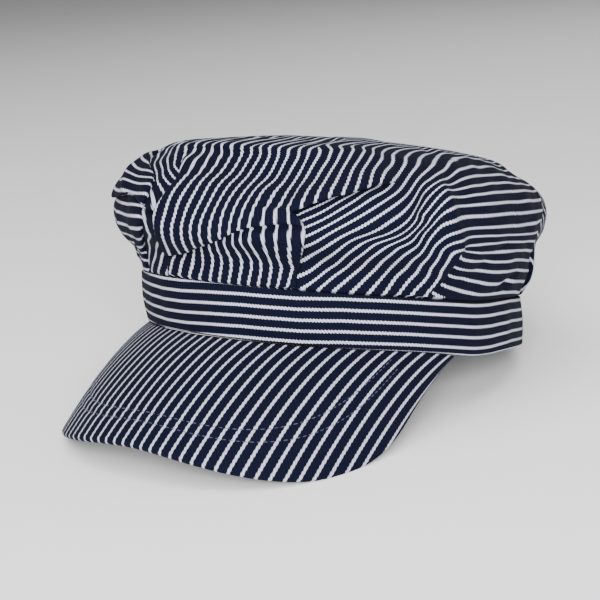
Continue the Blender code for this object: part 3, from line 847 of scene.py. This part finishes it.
def crown_piece(sizes, finish):
    """The crown: its outer face, the hem inside the band and the inner face, closed at both poles."""
    grid = CrownGrid()
    rows, count = grid.angle.shape
    lip_out, lip_down, lip_side, lip_covers = lip_moves(grid)
    fold_out, fold_side, fold_covers = fold_moves(grid)
    on_wall = (np.arange(rows) < grid.wall)[:, None]
    height = np.where(on_wall, np.maximum(grid.height - lip_down, SEAM_HEIGHT), grid.height)
    level = np.where(on_wall, level_of(height), grid.level)
    angle = grid.angle + np.degrees((fold_side + lip_side) / MEAN_RADIUS)
    out = crease_relief(grid.angle, grid.height) + lip_out + fold_out
    outer = crown_base(angle, level) + crown_normal(angle, level) * out[..., None]
    outer[..., 2] -= crown_sag(grid.angle, grid.height)
    pitch = sizes.stripe_pitch
    weave = crown_weave(grid, angle, height, fold_covers, lip_covers, pitch)

    rest = crown_inside(grid, grid.angle[0])
    base_index = rows * count
    below = base_index + np.arange(rest.shape[0] * count).reshape(-1, count)
    chain = np.concatenate([np.arange(count)[None], below])
    rest_points = np.concatenate([outer[:1], rest])
    inside_faces, inside_weave = [], []
    for i in range(len(chain) - 1):
        for j in range(count):
            k = (j + 1) % count
            inside_faces.append((chain[i][k], chain[i][j], chain[i + 1][j], chain[i + 1][k]))
            for row, column, corner in ((i, k, 1), (i, j, 0), (i + 1, j, 0), (i + 1, k, 1)):
                x, y, z = rest_points[row, column]
                hem_u, hem_v = weave[0, j, corner]
                hem = i < HEM_ROWS
                inside_weave.append((hem_u, hem_v - 0.2 * row) if hem else (x / pitch, (y + z) / pitch))

    top_pole = base_index + rest.shape[0] * count
    inner_pole = top_pole + 1
    last = (rows - 1) * count
    outer_middle, inner_middle = outer[-1].mean(axis=0), rest[-1].mean(axis=0)
    triangles, pole_weave = [], []
    for j in range(count):
        k = (j + 1) % count
        triangles.append((last + j, last + k, top_pole))
        for x, y, z in (outer[-1, j], outer[-1, k], outer_middle):
            pole_weave.append((TOP_MIDDLE + x / TOP_PITCH, (x * 0.82 - y * 0.57) / pitch))
        triangles.append((chain[-1][k], chain[-1][j], inner_pole))
        for x, y, z in (rest[-1, k], rest[-1, j], inner_middle):
            pole_weave.append((x / pitch, (y + z) / pitch))
    poles = np.array([outer_middle, inner_middle])
    points = set_down(np.concatenate([outer.reshape(-1, 3), rest.reshape(-1, 3), poles]))
    faces = grid_faces(rows, count, True).tolist() + inside_faces + triangles
    uv = np.concatenate([weave.reshape(-1, 2), np.array(inside_weave), np.array(pole_weave)])
    return cloth_mesh("crown_cloth_piece", points, faces, uv, finish)


# --------------------------------------------------------------------------- band and visor


def band_section():
    """The band's section as insets and heights: up its outer face, over and down the inside."""
    top = BAND_HEIGHT
    section = []
    for share in np.linspace(0, 1, BAND_ROWS):
        bulge = BAND_BARREL * math.sin(math.pi * share)
        crease = BAND_CREASE * sum(math.exp(-(((share - at) / 0.02) ** 2)) for at in (0.075, 0.925))
        section.append((-bulge + crease, EDGE_ROUND + (top - 2 * EDGE_ROUND) * share))
    section += [(EDGE_ROUND * 0.3, top - EDGE_ROUND * 0.3), (EDGE_ROUND, top), (BAND_WALL - EDGE_ROUND, top)]
    section += [(BAND_WALL, top - EDGE_ROUND), (BAND_WALL, top / 2), (BAND_WALL, EDGE_ROUND)]
    section += [(BAND_WALL - EDGE_ROUND, 0.0), (EDGE_ROUND, 0.0), (EDGE_ROUND * 0.3, EDGE_ROUND * 0.3)]
    return section


def band_piece(sizes, finish):
    """The band: a ring whose section is swept round the head opening, stripes running round it."""
    columns = BAND_COLUMNS
    angles = np.linspace(-180, 180, columns, endpoint=False)
    section = band_section()
    girth = np.concatenate([[0], np.cumsum(np.hypot(*np.diff(np.array(section + section[:1]), axis=0).T))])
    waves = sum(rise * np.sin(np.radians(angles) * number + phase) for number, phase, rise in BAND_RIPPLES)
    rows = []
    for inset, z in section:
        share = max(0.0, 1 - abs(z / BAND_HEIGHT - 0.5) * 1.6) if inset < EDGE_ROUND else 0.0
        rows.append(band_ring(angles, z, inset - waves * share))
    points = np.array(rows)
    count = len(section)
    faces, weave = [], []
    pitch = sizes.stripe_pitch
    drift = np.interp(angles, *zip(*BAND_DRIFT))
    for i in range(count):
        n = (i + 1) % count
        for j in range(columns):
            k = (j + 1) % columns
            faces.append((i * columns + j, i * columns + k, n * columns + k, n * columns + j))
            turn = 360 if j + 1 == columns else 0
            for row, column, lap in ((i, j, 0), (i, k, turn), (i + 1, k, turn), (i + 1, j, 0)):
                up = girth[row]
                stripe = BAND_START + drift[column] + up / pitch * sizes.band_share
                weave.append((stripe, rib_wall(angles[column] + lap, up, pitch)))
    return cloth_mesh("band_cloth_piece", set_down(points).reshape(-1, 3), faces, weave, finish)


def seam_y(x):
    """How far forward the visor's seam lies at x: it follows the band's lower edge."""
    share = np.minimum(np.abs(x) / (BAND_WIDTH / 2 - VISOR_INSET), 1)
    return -(BAND_LENGTH / 2 - VISOR_INSET) * np.sqrt(1 - share**2)


def brim_y(x):
    """How far forward the visor's free edge lies at x."""
    share = np.minimum(np.abs(x) / VISOR_HALF_WIDTH, 1)
    depth = BAND_LENGTH / 2 + VISOR_REACH - VISOR_SHOULDER
    shoulder = VISOR_SHOULDER + VISOR_SKEW * x / VISOR_HALF_WIDTH
    return -shoulder - depth * (1 - share**VISOR_SQUARENESS) ** (1 / VISOR_SQUARENESS)


def visor_top(x, y):
    """Points of the visor's upper face, which falls away forward from the seam."""
    run = seam_y(x) - y
    angle = np.degrees(np.arcsin(np.clip(x / (BAND_WIDTH / 2 - VISOR_INSET), -1, 1)))
    drop = math.tan(math.radians(VISOR_SLOPE)) * run + VISOR_DROP * run**2
    return np.stack(np.broadcast_arrays(x, y, -SEWN_GAP - drop - band_drop(angle, 0.0)), -1)


def visor_normal(x, y):
    step = 0.0004
    inner = np.clip(x, -VISOR_HALF_WIDTH + step, VISOR_HALF_WIDTH - step)
    across = visor_top(inner + step, y) - visor_top(inner - step, y)
    ahead = visor_top(x, y - step) - visor_top(x, y + step)
    normal = np.cross(ahead, across)
    return normal / np.linalg.norm(normal, axis=-1, keepdims=True)


def brim_line(inset, count=161):
    """Points on the plan that run round the visor's free edge, a distance in from it."""
    turn = np.radians(np.linspace(-88, 88, count))
    x = VISOR_HALF_WIDTH * np.sin(turn)
    line = np.stack([x, brim_y(x)], -1)
    ahead = np.gradient(line, axis=0)
    ahead /= np.linalg.norm(ahead, axis=1, keepdims=True)
    return line + np.stack([-ahead[:, 1], ahead[:, 0]], -1) * inset


def stitch_lines(sizes):
    """Plan lines of the visor's two stitch rows, clipped where they reach the seam."""
    lines = []
    for inset in (sizes.stitch_inset, sizes.stitch_inset + sizes.stitch_gap):
        line = brim_line(inset)
        keep = line[:, 1] < seam_y(line[:, 0]) - 0.004
        lines.append(line[keep])
    return lines


def distance_to_lines(x, y, lines):
    best = np.full(np.shape(x), 1.0)
    for line in lines:
        a, b = line[:-1], line[1:]
        run = b - a
        for p, d in zip(a, run):
            t = np.clip(((x - p[0]) * d[0] + (y - p[1]) * d[1]) / (d @ d), 0, 1)
            best = np.minimum(best, np.hypot(x - p[0] - d[0] * t, y - p[1] - d[1] * t))
    return best


def visor_piece(sizes, finish):
    """The visor: twill stretched over a stiffener, a rounded edge and two stitched grooves."""
    columns, rows = VISOR_COLUMNS, VISOR_ROWS
    radius = VISOR_THICKNESS / 2
    turns = np.linspace(-90, 90, columns + 1)
    lines = [line[::2] for line in stitch_lines(sizes)]
    x = VISOR_HALF_WIDTH * np.sin(np.radians(turns))
    beyond = np.maximum(0.0, np.abs(x) - (VISOR_HALF_WIDTH - radius)) / radius
    half = radius * np.maximum(0.2, np.sqrt(np.maximum(0.0, 1 - beyond**2)))
    back, front = seam_y(x), brim_y(x) + radius
    shares = np.linspace(0, 1, rows + 1)
    X = np.repeat(x[:, None], rows + 1, 1)
    Y = back[:, None] + (front - back)[:, None] * shares
    top, normal = visor_top(X, Y), visor_normal(X, Y)
    middle = top - normal * radius
    groove = GROOVE_DEPTH * np.exp(-((distance_to_lines(X, Y, lines) / GROOVE_WIDTH) ** 2))
    swell = 0.00010 * np.sin(X * 210 + 0.6) * np.sin(Y * 170)
    upper = middle + normal * (half[:, None] - groove + swell)[..., None]
    lower = middle - normal * half[:, None, None]
    ahead = visor_top(x, front - radius) - visor_top(x, front)
    ahead /= np.linalg.norm(ahead, axis=-1, keepdims=True)
    nose = []
    for roll in (60, 30, 0, -30, -60):
        lift = half * math.sin(math.radians(roll))
        reach = ahead * radius * math.cos(math.radians(roll))
        nose.append(middle[:, -1] + normal[:, -1] * lift[:, None] + reach)
    sections = np.concatenate([upper, np.stack(nose, 1), lower[:, ::-1]], 1)
    count = sections.shape[1]

    pitch = sizes.stripe_pitch
    numbers, places = zip(*VISOR_STRIPES)
    inward = np.clip(sections[..., 1] - brim_y(np.maximum(x, VISOR_CORNER))[:, None], 0, 0.09)
    lean = VISOR_LEAN[0] + (VISOR_LEAN[1] - VISOR_LEAN[0]) * np.clip(-x / 0.07, 0, 1)
    stripe = np.interp(x[:, None] - VISOR_SHIFT - lean[:, None] * inward, places, numbers)
    steps = np.linalg.norm(np.diff(sections, axis=1), axis=2)
    girth = np.concatenate([np.zeros((columns + 1, 1)), np.cumsum(steps, 1)], 1)
    forward = girth - seam_y(x)[:, None]
    slant = math.radians(RIB_SLANT)
    rib = (stripe * pitch * math.cos(slant) - forward * math.sin(slant)) / pitch
    faces, weave = [], []
    for i in range(columns):
        for j in range(count):
            k = (j + 1) % count
            faces.append((i * count + j, (i + 1) * count + j, (i + 1) * count + k, i * count + k))
            weave += [(stripe[at], rib[at]) for at in ((i, j), (i + 1, j), (i + 1, k), (i, k))]
    for i, flip in ((0, False), (columns, True)):
        ring = list(range(i * count, (i + 1) * count))
        faces.append(ring if not flip else ring[::-1])
        weave += [(stripe[i, 0], 0.0)] * count
    return cloth_mesh("visor_cloth_piece", set_down(sections.reshape(-1, 3)), faces, weave, finish)


def stitch_tree(thread):
    """Geometry Nodes: stitches laid along a line at an even spacing, each a short thread made as a stretched
    ball.
    """
    tree = bpy.data.node_groups.new("visor_stitches", "GeometryNodeTree")
    face = tree.interface
    face.new_socket("Line", in_out="INPUT", socket_type="NodeSocketGeometry")
    for name, value in (("Spacing", 0.0028), ("Length", 0.0019), ("Thickness", 0.00042)):
        socket = face.new_socket(name, in_out="INPUT", socket_type="NodeSocketFloat")
        socket.default_value = value
        socket.subtype = "DISTANCE"
    face.new_socket("Seed", in_out="INPUT", socket_type="NodeSocketInt").default_value = 7
    face.new_socket("Stitches", in_out="OUTPUT", socket_type="NodeSocketGeometry")
    node = tree.nodes.new
    start, end = node("NodeGroupInput"), node("NodeGroupOutput")
    to_curve, resample = node("GeometryNodeMeshToCurve"), node("GeometryNodeResampleCurve")
    resample.mode = "LENGTH"
    ball = node("GeometryNodeMeshIcoSphere")
    ball.inputs["Subdivisions"].default_value = 2
    ball.inputs["Radius"].default_value = 0.5
    shape, size = node("ShaderNodeCombineXYZ"), node("GeometryNodeTransform")
    place, tangent = node("GeometryNodeInstanceOnPoints"), node("GeometryNodeInputTangent")
    align, align_up = (node("FunctionNodeAlignRotationToVector") for _ in range(2))
    align.axis, align_up.axis, align_up.pivot_axis = "X", "Z", "X"
    up = node("GeometryNodeInputNamedAttribute")
    up.data_type = "FLOAT_VECTOR"
    up.inputs["Name"].default_value = "cloth_up"
    sway = node("FunctionNodeRandomValue")
    sway.data_type = "FLOAT"
    sway.inputs[2].default_value, sway.inputs[3].default_value = 0.85, 1.12
    realize, smooth = node("GeometryNodeRealizeInstances"), node("GeometryNodeSetShadeSmooth")
    finish = node("GeometryNodeSetMaterial")
    finish.inputs["Material"].default_value = thread
    for source, output, target, socket in (
        (start, "Line", to_curve, "Mesh"),
        (to_curve, "Curve", resample, "Curve"),
        (start, "Spacing", resample, "Length"),
        (resample, "Curve", place, "Points"),
        (start, "Length", shape, "X"),
        (start, "Thickness", shape, "Y"),
        (start, "Thickness", shape, "Z"),
        (shape, "Vector", size, "Scale"),
        (ball, "Mesh", size, "Geometry"),
        (size, "Geometry", place, "Instance"),
        (tangent, "Tangent", align, "Vector"),
        (align, "Rotation", align_up, "Rotation"),
        (up, "Attribute", align_up, "Vector"),
        (align_up, "Rotation", place, "Rotation"),
        (start, "Seed", sway, "Seed"),
        (sway, 1, place, "Scale"),
        (place, "Instances", realize, "Geometry"),
        (realize, "Geometry", smooth, "Geometry"),
        (smooth, "Geometry", finish, "Geometry"),
        (finish, "Geometry", end, "Stitches"),
    ):
        tree.links.new(source.outputs[output], target.inputs[socket])
    return tree


def set_input(modifier, name, value):
    """Set a modifier's input by the identifier of the socket with that name."""
    for socket in modifier.node_group.interface.items_tree:
        if socket.item_type == "SOCKET" and socket.in_out == "INPUT" and socket.name == name:
            modifier[socket.identifier] = value
            return
    raise ValueError(f"the tree has no input named {name}")


def stitches_piece(sizes, thread):
    """The visor's two rows of stitches, grown along lines on the cloth and made a plain mesh."""
    points, edges, ups = [], [], []
    turn = np.array(Matrix.Rotation(PITCH, 3, "X"))
    for line in stitch_lines(sizes):
        x, y = line[:, 0], line[:, 1]
        normal = visor_normal(x, y)
        start = len(points)
        points += set_down(visor_top(x, y) - normal * THREAD_SINK).tolist()
        ups += (normal @ turn.T).tolist()
        edges += [(start + i, start + i + 1) for i in range(len(line) - 1)]
    data = bpy.data.meshes.new("stitch_line")
    data.from_pydata(points, edges, [])
    layer = data.attributes.new("cloth_up", "FLOAT_VECTOR", "POINT")
    layer.data.foreach_set("vector", np.array(ups, np.float32).ravel())
    line = bpy.data.objects.new("stitch_line", data)
    bpy.context.scene.collection.objects.link(line)
    modifier = line.modifiers.new("stitches", "NODES")
    modifier.node_group = stitch_tree(thread)
    set_input(modifier, "Spacing", sizes.stitch_spacing)
    set_input(modifier, "Length", sizes.stitch_spacing * STITCH_SHARE)
    set_input(modifier, "Thickness", sizes.thread_thickness)
    bpy.context.view_layer.update()
    evaluated = line.evaluated_get(bpy.context.evaluated_depsgraph_get())
    mesh = bpy.data.meshes.new_from_object(evaluated)
    mesh.name = "visor_stitches"
    obj = bpy.data.objects.new("visor_stitches", mesh)
    bpy.context.scene.collection.objects.link(obj)
    bpy.data.objects.remove(line, do_unlink=True)
    return obj


# --------------------------------------------------------------------------- finishes


def twill_group():
    """Shader group of the stripe twill: colour, height and roughness from stripe number and rib place."""
    name = "stripe_twill"
    if name in bpy.data.node_groups:
        return bpy.data.node_groups[name]
    tree = bpy.data.node_groups.new(name, "ShaderNodeTree")
    face = tree.interface
    inputs = (
        ("Stripe Share", 0.37), ("Stripe Softness", 0.045), ("Raggedness", 0.07), ("Ribs Per Stripe", 3.7),
        ("Fleck", 0.5), ("Fade", 0.12),
    )
    for label, value in inputs:
        face.new_socket(label, in_out="INPUT", socket_type="NodeSocketFloat").default_value = value
    for label in ("Navy", "Navy Fleck", "White", "White Shade"):
        face.new_socket(label, in_out="INPUT", socket_type="NodeSocketColor")
    face.new_socket("Color", in_out="OUTPUT", socket_type="NodeSocketColor")
    for label in ("Height", "Roughness"):
        face.new_socket(label, in_out="OUTPUT", socket_type="NodeSocketFloat")
    nodes, link = tree.nodes, tree.links.new
    start, end = nodes.new("NodeGroupInput"), nodes.new("NodeGroupOutput")
    given = start.outputs

    def math_node(kind, a, b, clamp=False):
        item = nodes.new("ShaderNodeMath")
        item.operation = kind
        item.use_clamp = clamp
        for socket, value in zip(item.inputs, (a, b)):
            if isinstance(value, float):
                socket.default_value = value
            else:
                link(value, socket)
        return item.outputs[0]

    def plus(a, b, clamp=False):
        return math_node("ADD", a, b, clamp)

    def minus(a, b):
        return math_node("SUBTRACT", a, b)

    def times(a, b, clamp=False):
        return math_node("MULTIPLY", a, b, clamp)

    def noise(vector, scale, detail, roughness=0.5):
        item = nodes.new("ShaderNodeTexNoise")
        for label, value in (("Scale", scale), ("Detail", detail), ("Roughness", roughness)):
            item.inputs[label].default_value = value
        link(vector, item.inputs["Vector"])
        return item.outputs["Fac"]

    def blend(factor, a, b, kind="MIX"):
        item = nodes.new("ShaderNodeMix")
        item.data_type = "RGBA"
        item.blend_type = kind
        if isinstance(factor, float):
            item.inputs["Factor"].default_value = factor
        else:
            link(factor, item.inputs["Factor"])
        link(a, item.inputs[6])
        link(b, item.inputs[7])
        return item.outputs[2]

    uv = nodes.new("ShaderNodeUVMap")
    uv.uv_map = "weave"
    split = nodes.new("ShaderNodeSeparateXYZ")
    link(uv.outputs["UV"], split.inputs["Vector"])
    where = nodes.new("ShaderNodeTexCoord").outputs["Object"]
    stripe, rib = split.outputs["X"], split.outputs["Y"]

    # Ribs of the twill, and the threads and fibres that make them uneven
    wobble = times(minus(noise(uv.outputs["UV"], 1.7, 2.0), 0.5), 0.9)
    ridge = times(math_node("PINGPONG", plus(times(rib, given["Ribs Per Stripe"]), wobble), 0.5), 2.0)
    furrow = minus(1.0, ridge)
    threads = noise(uv.outputs["UV"], 9.0, 3.0, 0.7)
    fibre = noise(where, 1400.0, 3.0, 0.7)

    # Mask of the white stripes, whose edges the ribs make ragged
    bite = times(minus(ridge, 0.5), given["Raggedness"])
    edge = plus(minus(math_node("PINGPONG", stripe, 0.5), bite), times(minus(threads, 0.5), 0.08))
    half = times(given["Stripe Share"], 0.5)
    ramp = nodes.new("ShaderNodeMapRange")
    ramp.interpolation_type = "SMOOTHSTEP"
    link(edge, ramp.inputs["Value"])
    link(plus(half, given["Stripe Softness"]), ramp.inputs["From Min"])
    link(minus(half, given["Stripe Softness"]), ramp.inputs["From Max"])
    mask = ramp.outputs["Result"]

    # Navy with pale flecks between its ribs, white with shaded furrows, and a slow change of both
    flecks = times(times(math_node("POWER", furrow, 2.0), threads), given["Fleck"])
    flecks = times(plus(flecks, times(fibre, 0.22)), 1.0, clamp=True)
    navy = blend(flecks, given["Navy"], given["Navy Fleck"])
    valley = times(math_node("POWER", furrow, 1.5), 0.55, clamp=True)
    white = blend(plus(valley, times(fibre, 0.25), clamp=True), given["White"], given["White Shade"])
    level = plus(1.0, times(minus(noise(where, 34.0, 3.0, 0.6), 0.5), given["Fade"]))
    grey = nodes.new("ShaderNodeCombineColor")
    for channel in ("Red", "Green", "Blue"):
        link(level, grey.inputs[channel])
    cloth = blend(mask, navy, white)
    link(blend(1.0, cloth, grey.outputs["Color"], "MULTIPLY"), end.inputs["Color"])
    height = plus(plus(times(ridge, 0.55), times(mask, 0.25)), times(threads, 0.35))
    link(height, end.inputs["Height"])
    link(minus(0.93, times(ridge, 0.10)), end.inputs["Roughness"])
    return tree


def bump_node(tree, strength, distance):
    bump = tree.nodes.new("ShaderNodeBump")
    bump.inputs["Strength"].default_value = strength
    bump.inputs["Distance"].default_value = distance
    return bump


def twill_finish(piece, colours):
    """A matte cotton twill for one piece, with the stripe group's colour, height and roughness."""
    share, ragged, brightness = TWILLS[piece]
    finish = bpy.data.materials.new(piece + "_twill")
    finish.use_nodes = True
    tree = finish.node_tree
    shader = tree.nodes["Principled BSDF"]
    group = tree.nodes.new("ShaderNodeGroup")
    group.node_tree = twill_group()
    group.inputs["Stripe Share"].default_value = share
    group.inputs["Raggedness"].default_value = ragged
    tints = {
        "Navy": colours.navy,
        "Navy Fleck": colours.navy_fleck,
        # The white is scaled by the piece's brightness: below 1 on the visor, a painted shade of the same
        # white cloth.
        "White": [brightness * c for c in colours.white],
        "White Shade": colours.white_shade,
    }
    for label, value in tints.items():
        group.inputs[label].default_value = (*value, 1.0)
    bump = bump_node(tree, 0.55, 0.00030)
    tree.links.new(group.outputs["Color"], shader.inputs["Base Color"])
    tree.links.new(group.outputs["Roughness"], shader.inputs["Roughness"])
    tree.links.new(group.outputs["Height"], bump.inputs["Height"])
    tree.links.new(bump.outputs["Normal"], shader.inputs["Normal"])
    shader.inputs["Sheen Weight"].default_value = 0.01
    shader.inputs["Sheen Roughness"].default_value = 0.5
    shader.inputs["Specular IOR Level"].default_value = 0.04
    return finish


def thread_finish(colour):
    """Spun sewing thread: fine twist lines across a dark blue."""
    finish = bpy.data.materials.new("stitch_thread")
    finish.use_nodes = True
    tree = finish.node_tree
    shader = tree.nodes["Principled BSDF"]
    where = tree.nodes.new("ShaderNodeTexCoord")
    twist = tree.nodes.new("ShaderNodeTexNoise")
    twist.inputs["Scale"].default_value = 2200.0
    twist.inputs["Detail"].default_value = 2.0
    tint = tree.nodes.new("ShaderNodeMix")
    tint.data_type = "RGBA"
    tint.inputs[6].default_value = (*(c * 0.6 for c in colour), 1.0)
    tint.inputs[7].default_value = (*(min(1.0, c * 1.7) for c in colour), 1.0)
    bump = bump_node(tree, 0.4, 0.0001)
    tree.links.new(where.outputs["Object"], twist.inputs["Vector"])
    tree.links.new(twist.outputs["Fac"], tint.inputs["Factor"])
    tree.links.new(tint.outputs[2], shader.inputs["Base Color"])
    tree.links.new(twist.outputs["Fac"], bump.inputs["Height"])
    tree.links.new(bump.outputs["Normal"], shader.inputs["Normal"])
    shader.inputs["Roughness"].default_value = 0.7
    shader.inputs["Sheen Weight"].default_value = 0.2
    return finish


# --------------------------------------------------------------------------- add-on


class CapSizes(bpy.types.PropertyGroup):
    stripe_pitch: bpy.props.FloatProperty(
        name="Stripe pitch", description="Distance from one white stripe to the next",
        default=0.00452, min=0.002, max=0.01, precision=5, subtype="DISTANCE", unit="LENGTH",
    )
    band_share: bpy.props.FloatProperty(
        name="Band stripe share",
        description="How tightly the band's stripes follow each other up its height",
        default=1.0, min=0.8, max=1.2, subtype="FACTOR",
    )
    stitch_inset: bpy.props.FloatProperty(
        name="Stitch inset", description="Distance of the outer stitch row from the visor's free edge",
        default=0.0085, min=0.002, max=0.03, precision=4, subtype="DISTANCE", unit="LENGTH",
    )
    stitch_gap: bpy.props.FloatProperty(
        name="Stitch gap", description="Distance between the visor's two stitch rows",
        default=0.0033, min=0.002, max=0.01, precision=4, subtype="DISTANCE", unit="LENGTH",
    )
    stitch_spacing: bpy.props.FloatProperty(
        name="Stitch spacing", description="Length of one stitch with its gap",
        default=0.0027, min=0.001, max=0.006, precision=4, subtype="DISTANCE", unit="LENGTH",
    )
    thread_thickness: bpy.props.FloatProperty(
        name="Thread thickness", description="Thickness of the sewing thread",
        default=0.00042, min=0.0001, max=0.001, precision=5, subtype="DISTANCE", unit="LENGTH",
    )


class CapColours(bpy.types.PropertyGroup):
    navy: bpy.props.FloatVectorProperty(
        name="Navy", description="Dark blue of the twill's face", default=(0.0014, 0.0019, 0.0080),
        size=3, min=0, max=1, subtype="COLOR",
    )
    navy_fleck: bpy.props.FloatVectorProperty(
        name="Navy fleck", description="Paler blue that shows between the ribs",
        default=(0.0085, 0.0105, 0.0250),
        size=3, min=0, max=1, subtype="COLOR",
    )
    white: bpy.props.FloatVectorProperty(
        name="White", description="Off-white of the stripes", default=(0.52, 0.53, 0.62),
        size=3, min=0, max=1, subtype="COLOR",
    )
    white_shade: bpy.props.FloatVectorProperty(
        name="White shade", description="Shaded white between the ribs of a stripe",
        default=(0.24, 0.25, 0.35),
        size=3, min=0, max=1, subtype="COLOR",
    )
    thread: bpy.props.FloatVectorProperty(
        name="Thread", description="Blue of the sewing thread", default=(0.020, 0.024, 0.065),
        size=3, min=0, max=1, subtype="COLOR",
    )
    floor: bpy.props.FloatVectorProperty(
        name="Floor", description="Pale floor under the cap", default=(0.90, 0.90, 0.90),
        size=3, min=0, max=1, subtype="COLOR",
    )


class CAP_OT_crown(bpy.types.Operator):
    """Build the pleated crown"""
    bl_idname = "cap.crown"
    bl_label = "Crown"

    def execute(self, context):
        scene = context.scene
        crown = crown_piece(scene.cap_sizes, twill_finish("crown", scene.cap_colours))
        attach(crown, "root")
        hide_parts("crown")
        return {"FINISHED"}


class CAP_OT_band(bpy.types.Operator):
    """Build the band round the head opening"""
    bl_idname = "cap.band"
    bl_label = "Band"

    def execute(self, context):
        scene = context.scene
        band = band_piece(scene.cap_sizes, twill_finish("band", scene.cap_colours))
        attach(band, "root")
        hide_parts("band")
        return {"FINISHED"}


class CAP_OT_visor(bpy.types.Operator):
    """Build the visor with its cloth cover"""
    bl_idname = "cap.visor"
    bl_label = "Visor"

    def execute(self, context):
        scene = context.scene
        visor = visor_piece(scene.cap_sizes, twill_finish("visor", scene.cap_colours))
        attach(visor, "root")
        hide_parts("visor")
        return {"FINISHED"}


class CAP_OT_stitches(bpy.types.Operator):
    """Sew the two rows of stitches on the visor"""
    bl_idname = "cap.stitches"
    bl_label = "Visor stitches"

    def execute(self, context):
        scene = context.scene
        stitches = stitches_piece(scene.cap_sizes, thread_finish(scene.cap_colours.thread))
        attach(stitches, "root")
        return {"FINISHED"}


class CAP_OT_stage(bpy.types.Operator):
    """Set the pale floor, the soft lights and the camera"""
    bl_idname = "cap.stage"
    bl_label = "Stage"

    def execute(self, context):
        scene = context.scene
        data = bpy.data.meshes.new("floor")
        corners = [(-1, -1), (1, -1), (1, 1), (-1, 1)]
        data.from_pydata([(x * FLOOR_HALF, y * FLOOR_HALF, 0) for x, y in corners], [], [(0, 1, 2, 3)])
        paint = bpy.data.materials.new("floor_paint")
        paint.use_nodes = True
        shader = paint.node_tree.nodes["Principled BSDF"]
        shader.inputs["Base Color"].default_value = (*scene.cap_colours.floor, 1.0)
        shader.inputs["Roughness"].default_value = 0.9
        data.materials.append(paint)
        floor = bpy.data.objects.new("floor", data)
        scene.collection.objects.link(floor)

        world = bpy.data.worlds.new("studio")
        world.use_nodes = True
        background = world.node_tree.nodes["Background"]
        background.inputs["Color"].default_value = (1.0, 1.0, 1.0, 1.0)
        background.inputs["Strength"].default_value = STUDIO_LIGHT
        scene.world = world
        for name, place, turn, size, power in LIGHTS:
            light = bpy.data.lights.new(name, "AREA")
            light.size = size
            light.energy = power
            lamp = bpy.data.objects.new(name, light)
            lamp.location = place
            lamp.rotation_euler = tuple(math.radians(t) for t in turn)
            scene.collection.objects.link(lamp)

        camera = bpy.data.cameras.new("camera")
        camera.lens = CAMERA_LENS
        camera.sensor_width = 36.0
        view = bpy.data.objects.new("camera", camera)
        view.matrix_world = Matrix(CAMERA_POSE)
        scene.collection.objects.link(view)
        scene.camera = view
        return {"FINISHED"}


class CAP_PT_panel(bpy.types.Panel):
    """Sizes and colours of the cap, and a button for each piece"""
    bl_idname = "CAP_PT_panel"
    bl_label = "Engineer Cap"
    bl_space_type = "VIEW_3D"
    bl_region_type = "UI"
    bl_category = "Cap"

    def draw(self, context):
        layout = self.layout
        for group in (context.scene.cap_sizes, context.scene.cap_colours):
            box = layout.box()
            for name in group.bl_rna.properties.keys():
                if name not in ("rna_type", "name"):
                    box.prop(group, name)
        for operator in OPERATORS:
            layout.operator(operator.bl_idname)


OPERATORS = (CAP_OT_crown, CAP_OT_band, CAP_OT_visor, CAP_OT_stitches, CAP_OT_stage)
CLASSES = (CapSizes, CapColours, *OPERATORS, CAP_PT_panel)


def register():
    for item in CLASSES:
        bpy.utils.register_class(item)
    bpy.types.Scene.cap_sizes = bpy.props.PointerProperty(type=CapSizes)
    bpy.types.Scene.cap_colours = bpy.props.PointerProperty(type=CapColours)


def unregister():
    del bpy.types.Scene.cap_sizes
    del bpy.types.Scene.cap_colours
    for item in reversed(CLASSES):
        bpy.utils.unregister_class(item)


def main():
    register()
    bpy.ops.cap.crown()
    bpy.ops.cap.band()
    bpy.ops.cap.visor()
    bpy.ops.cap.stitches()
    bpy.ops.cap.stage()


if __name__ == "__main__":
    main()
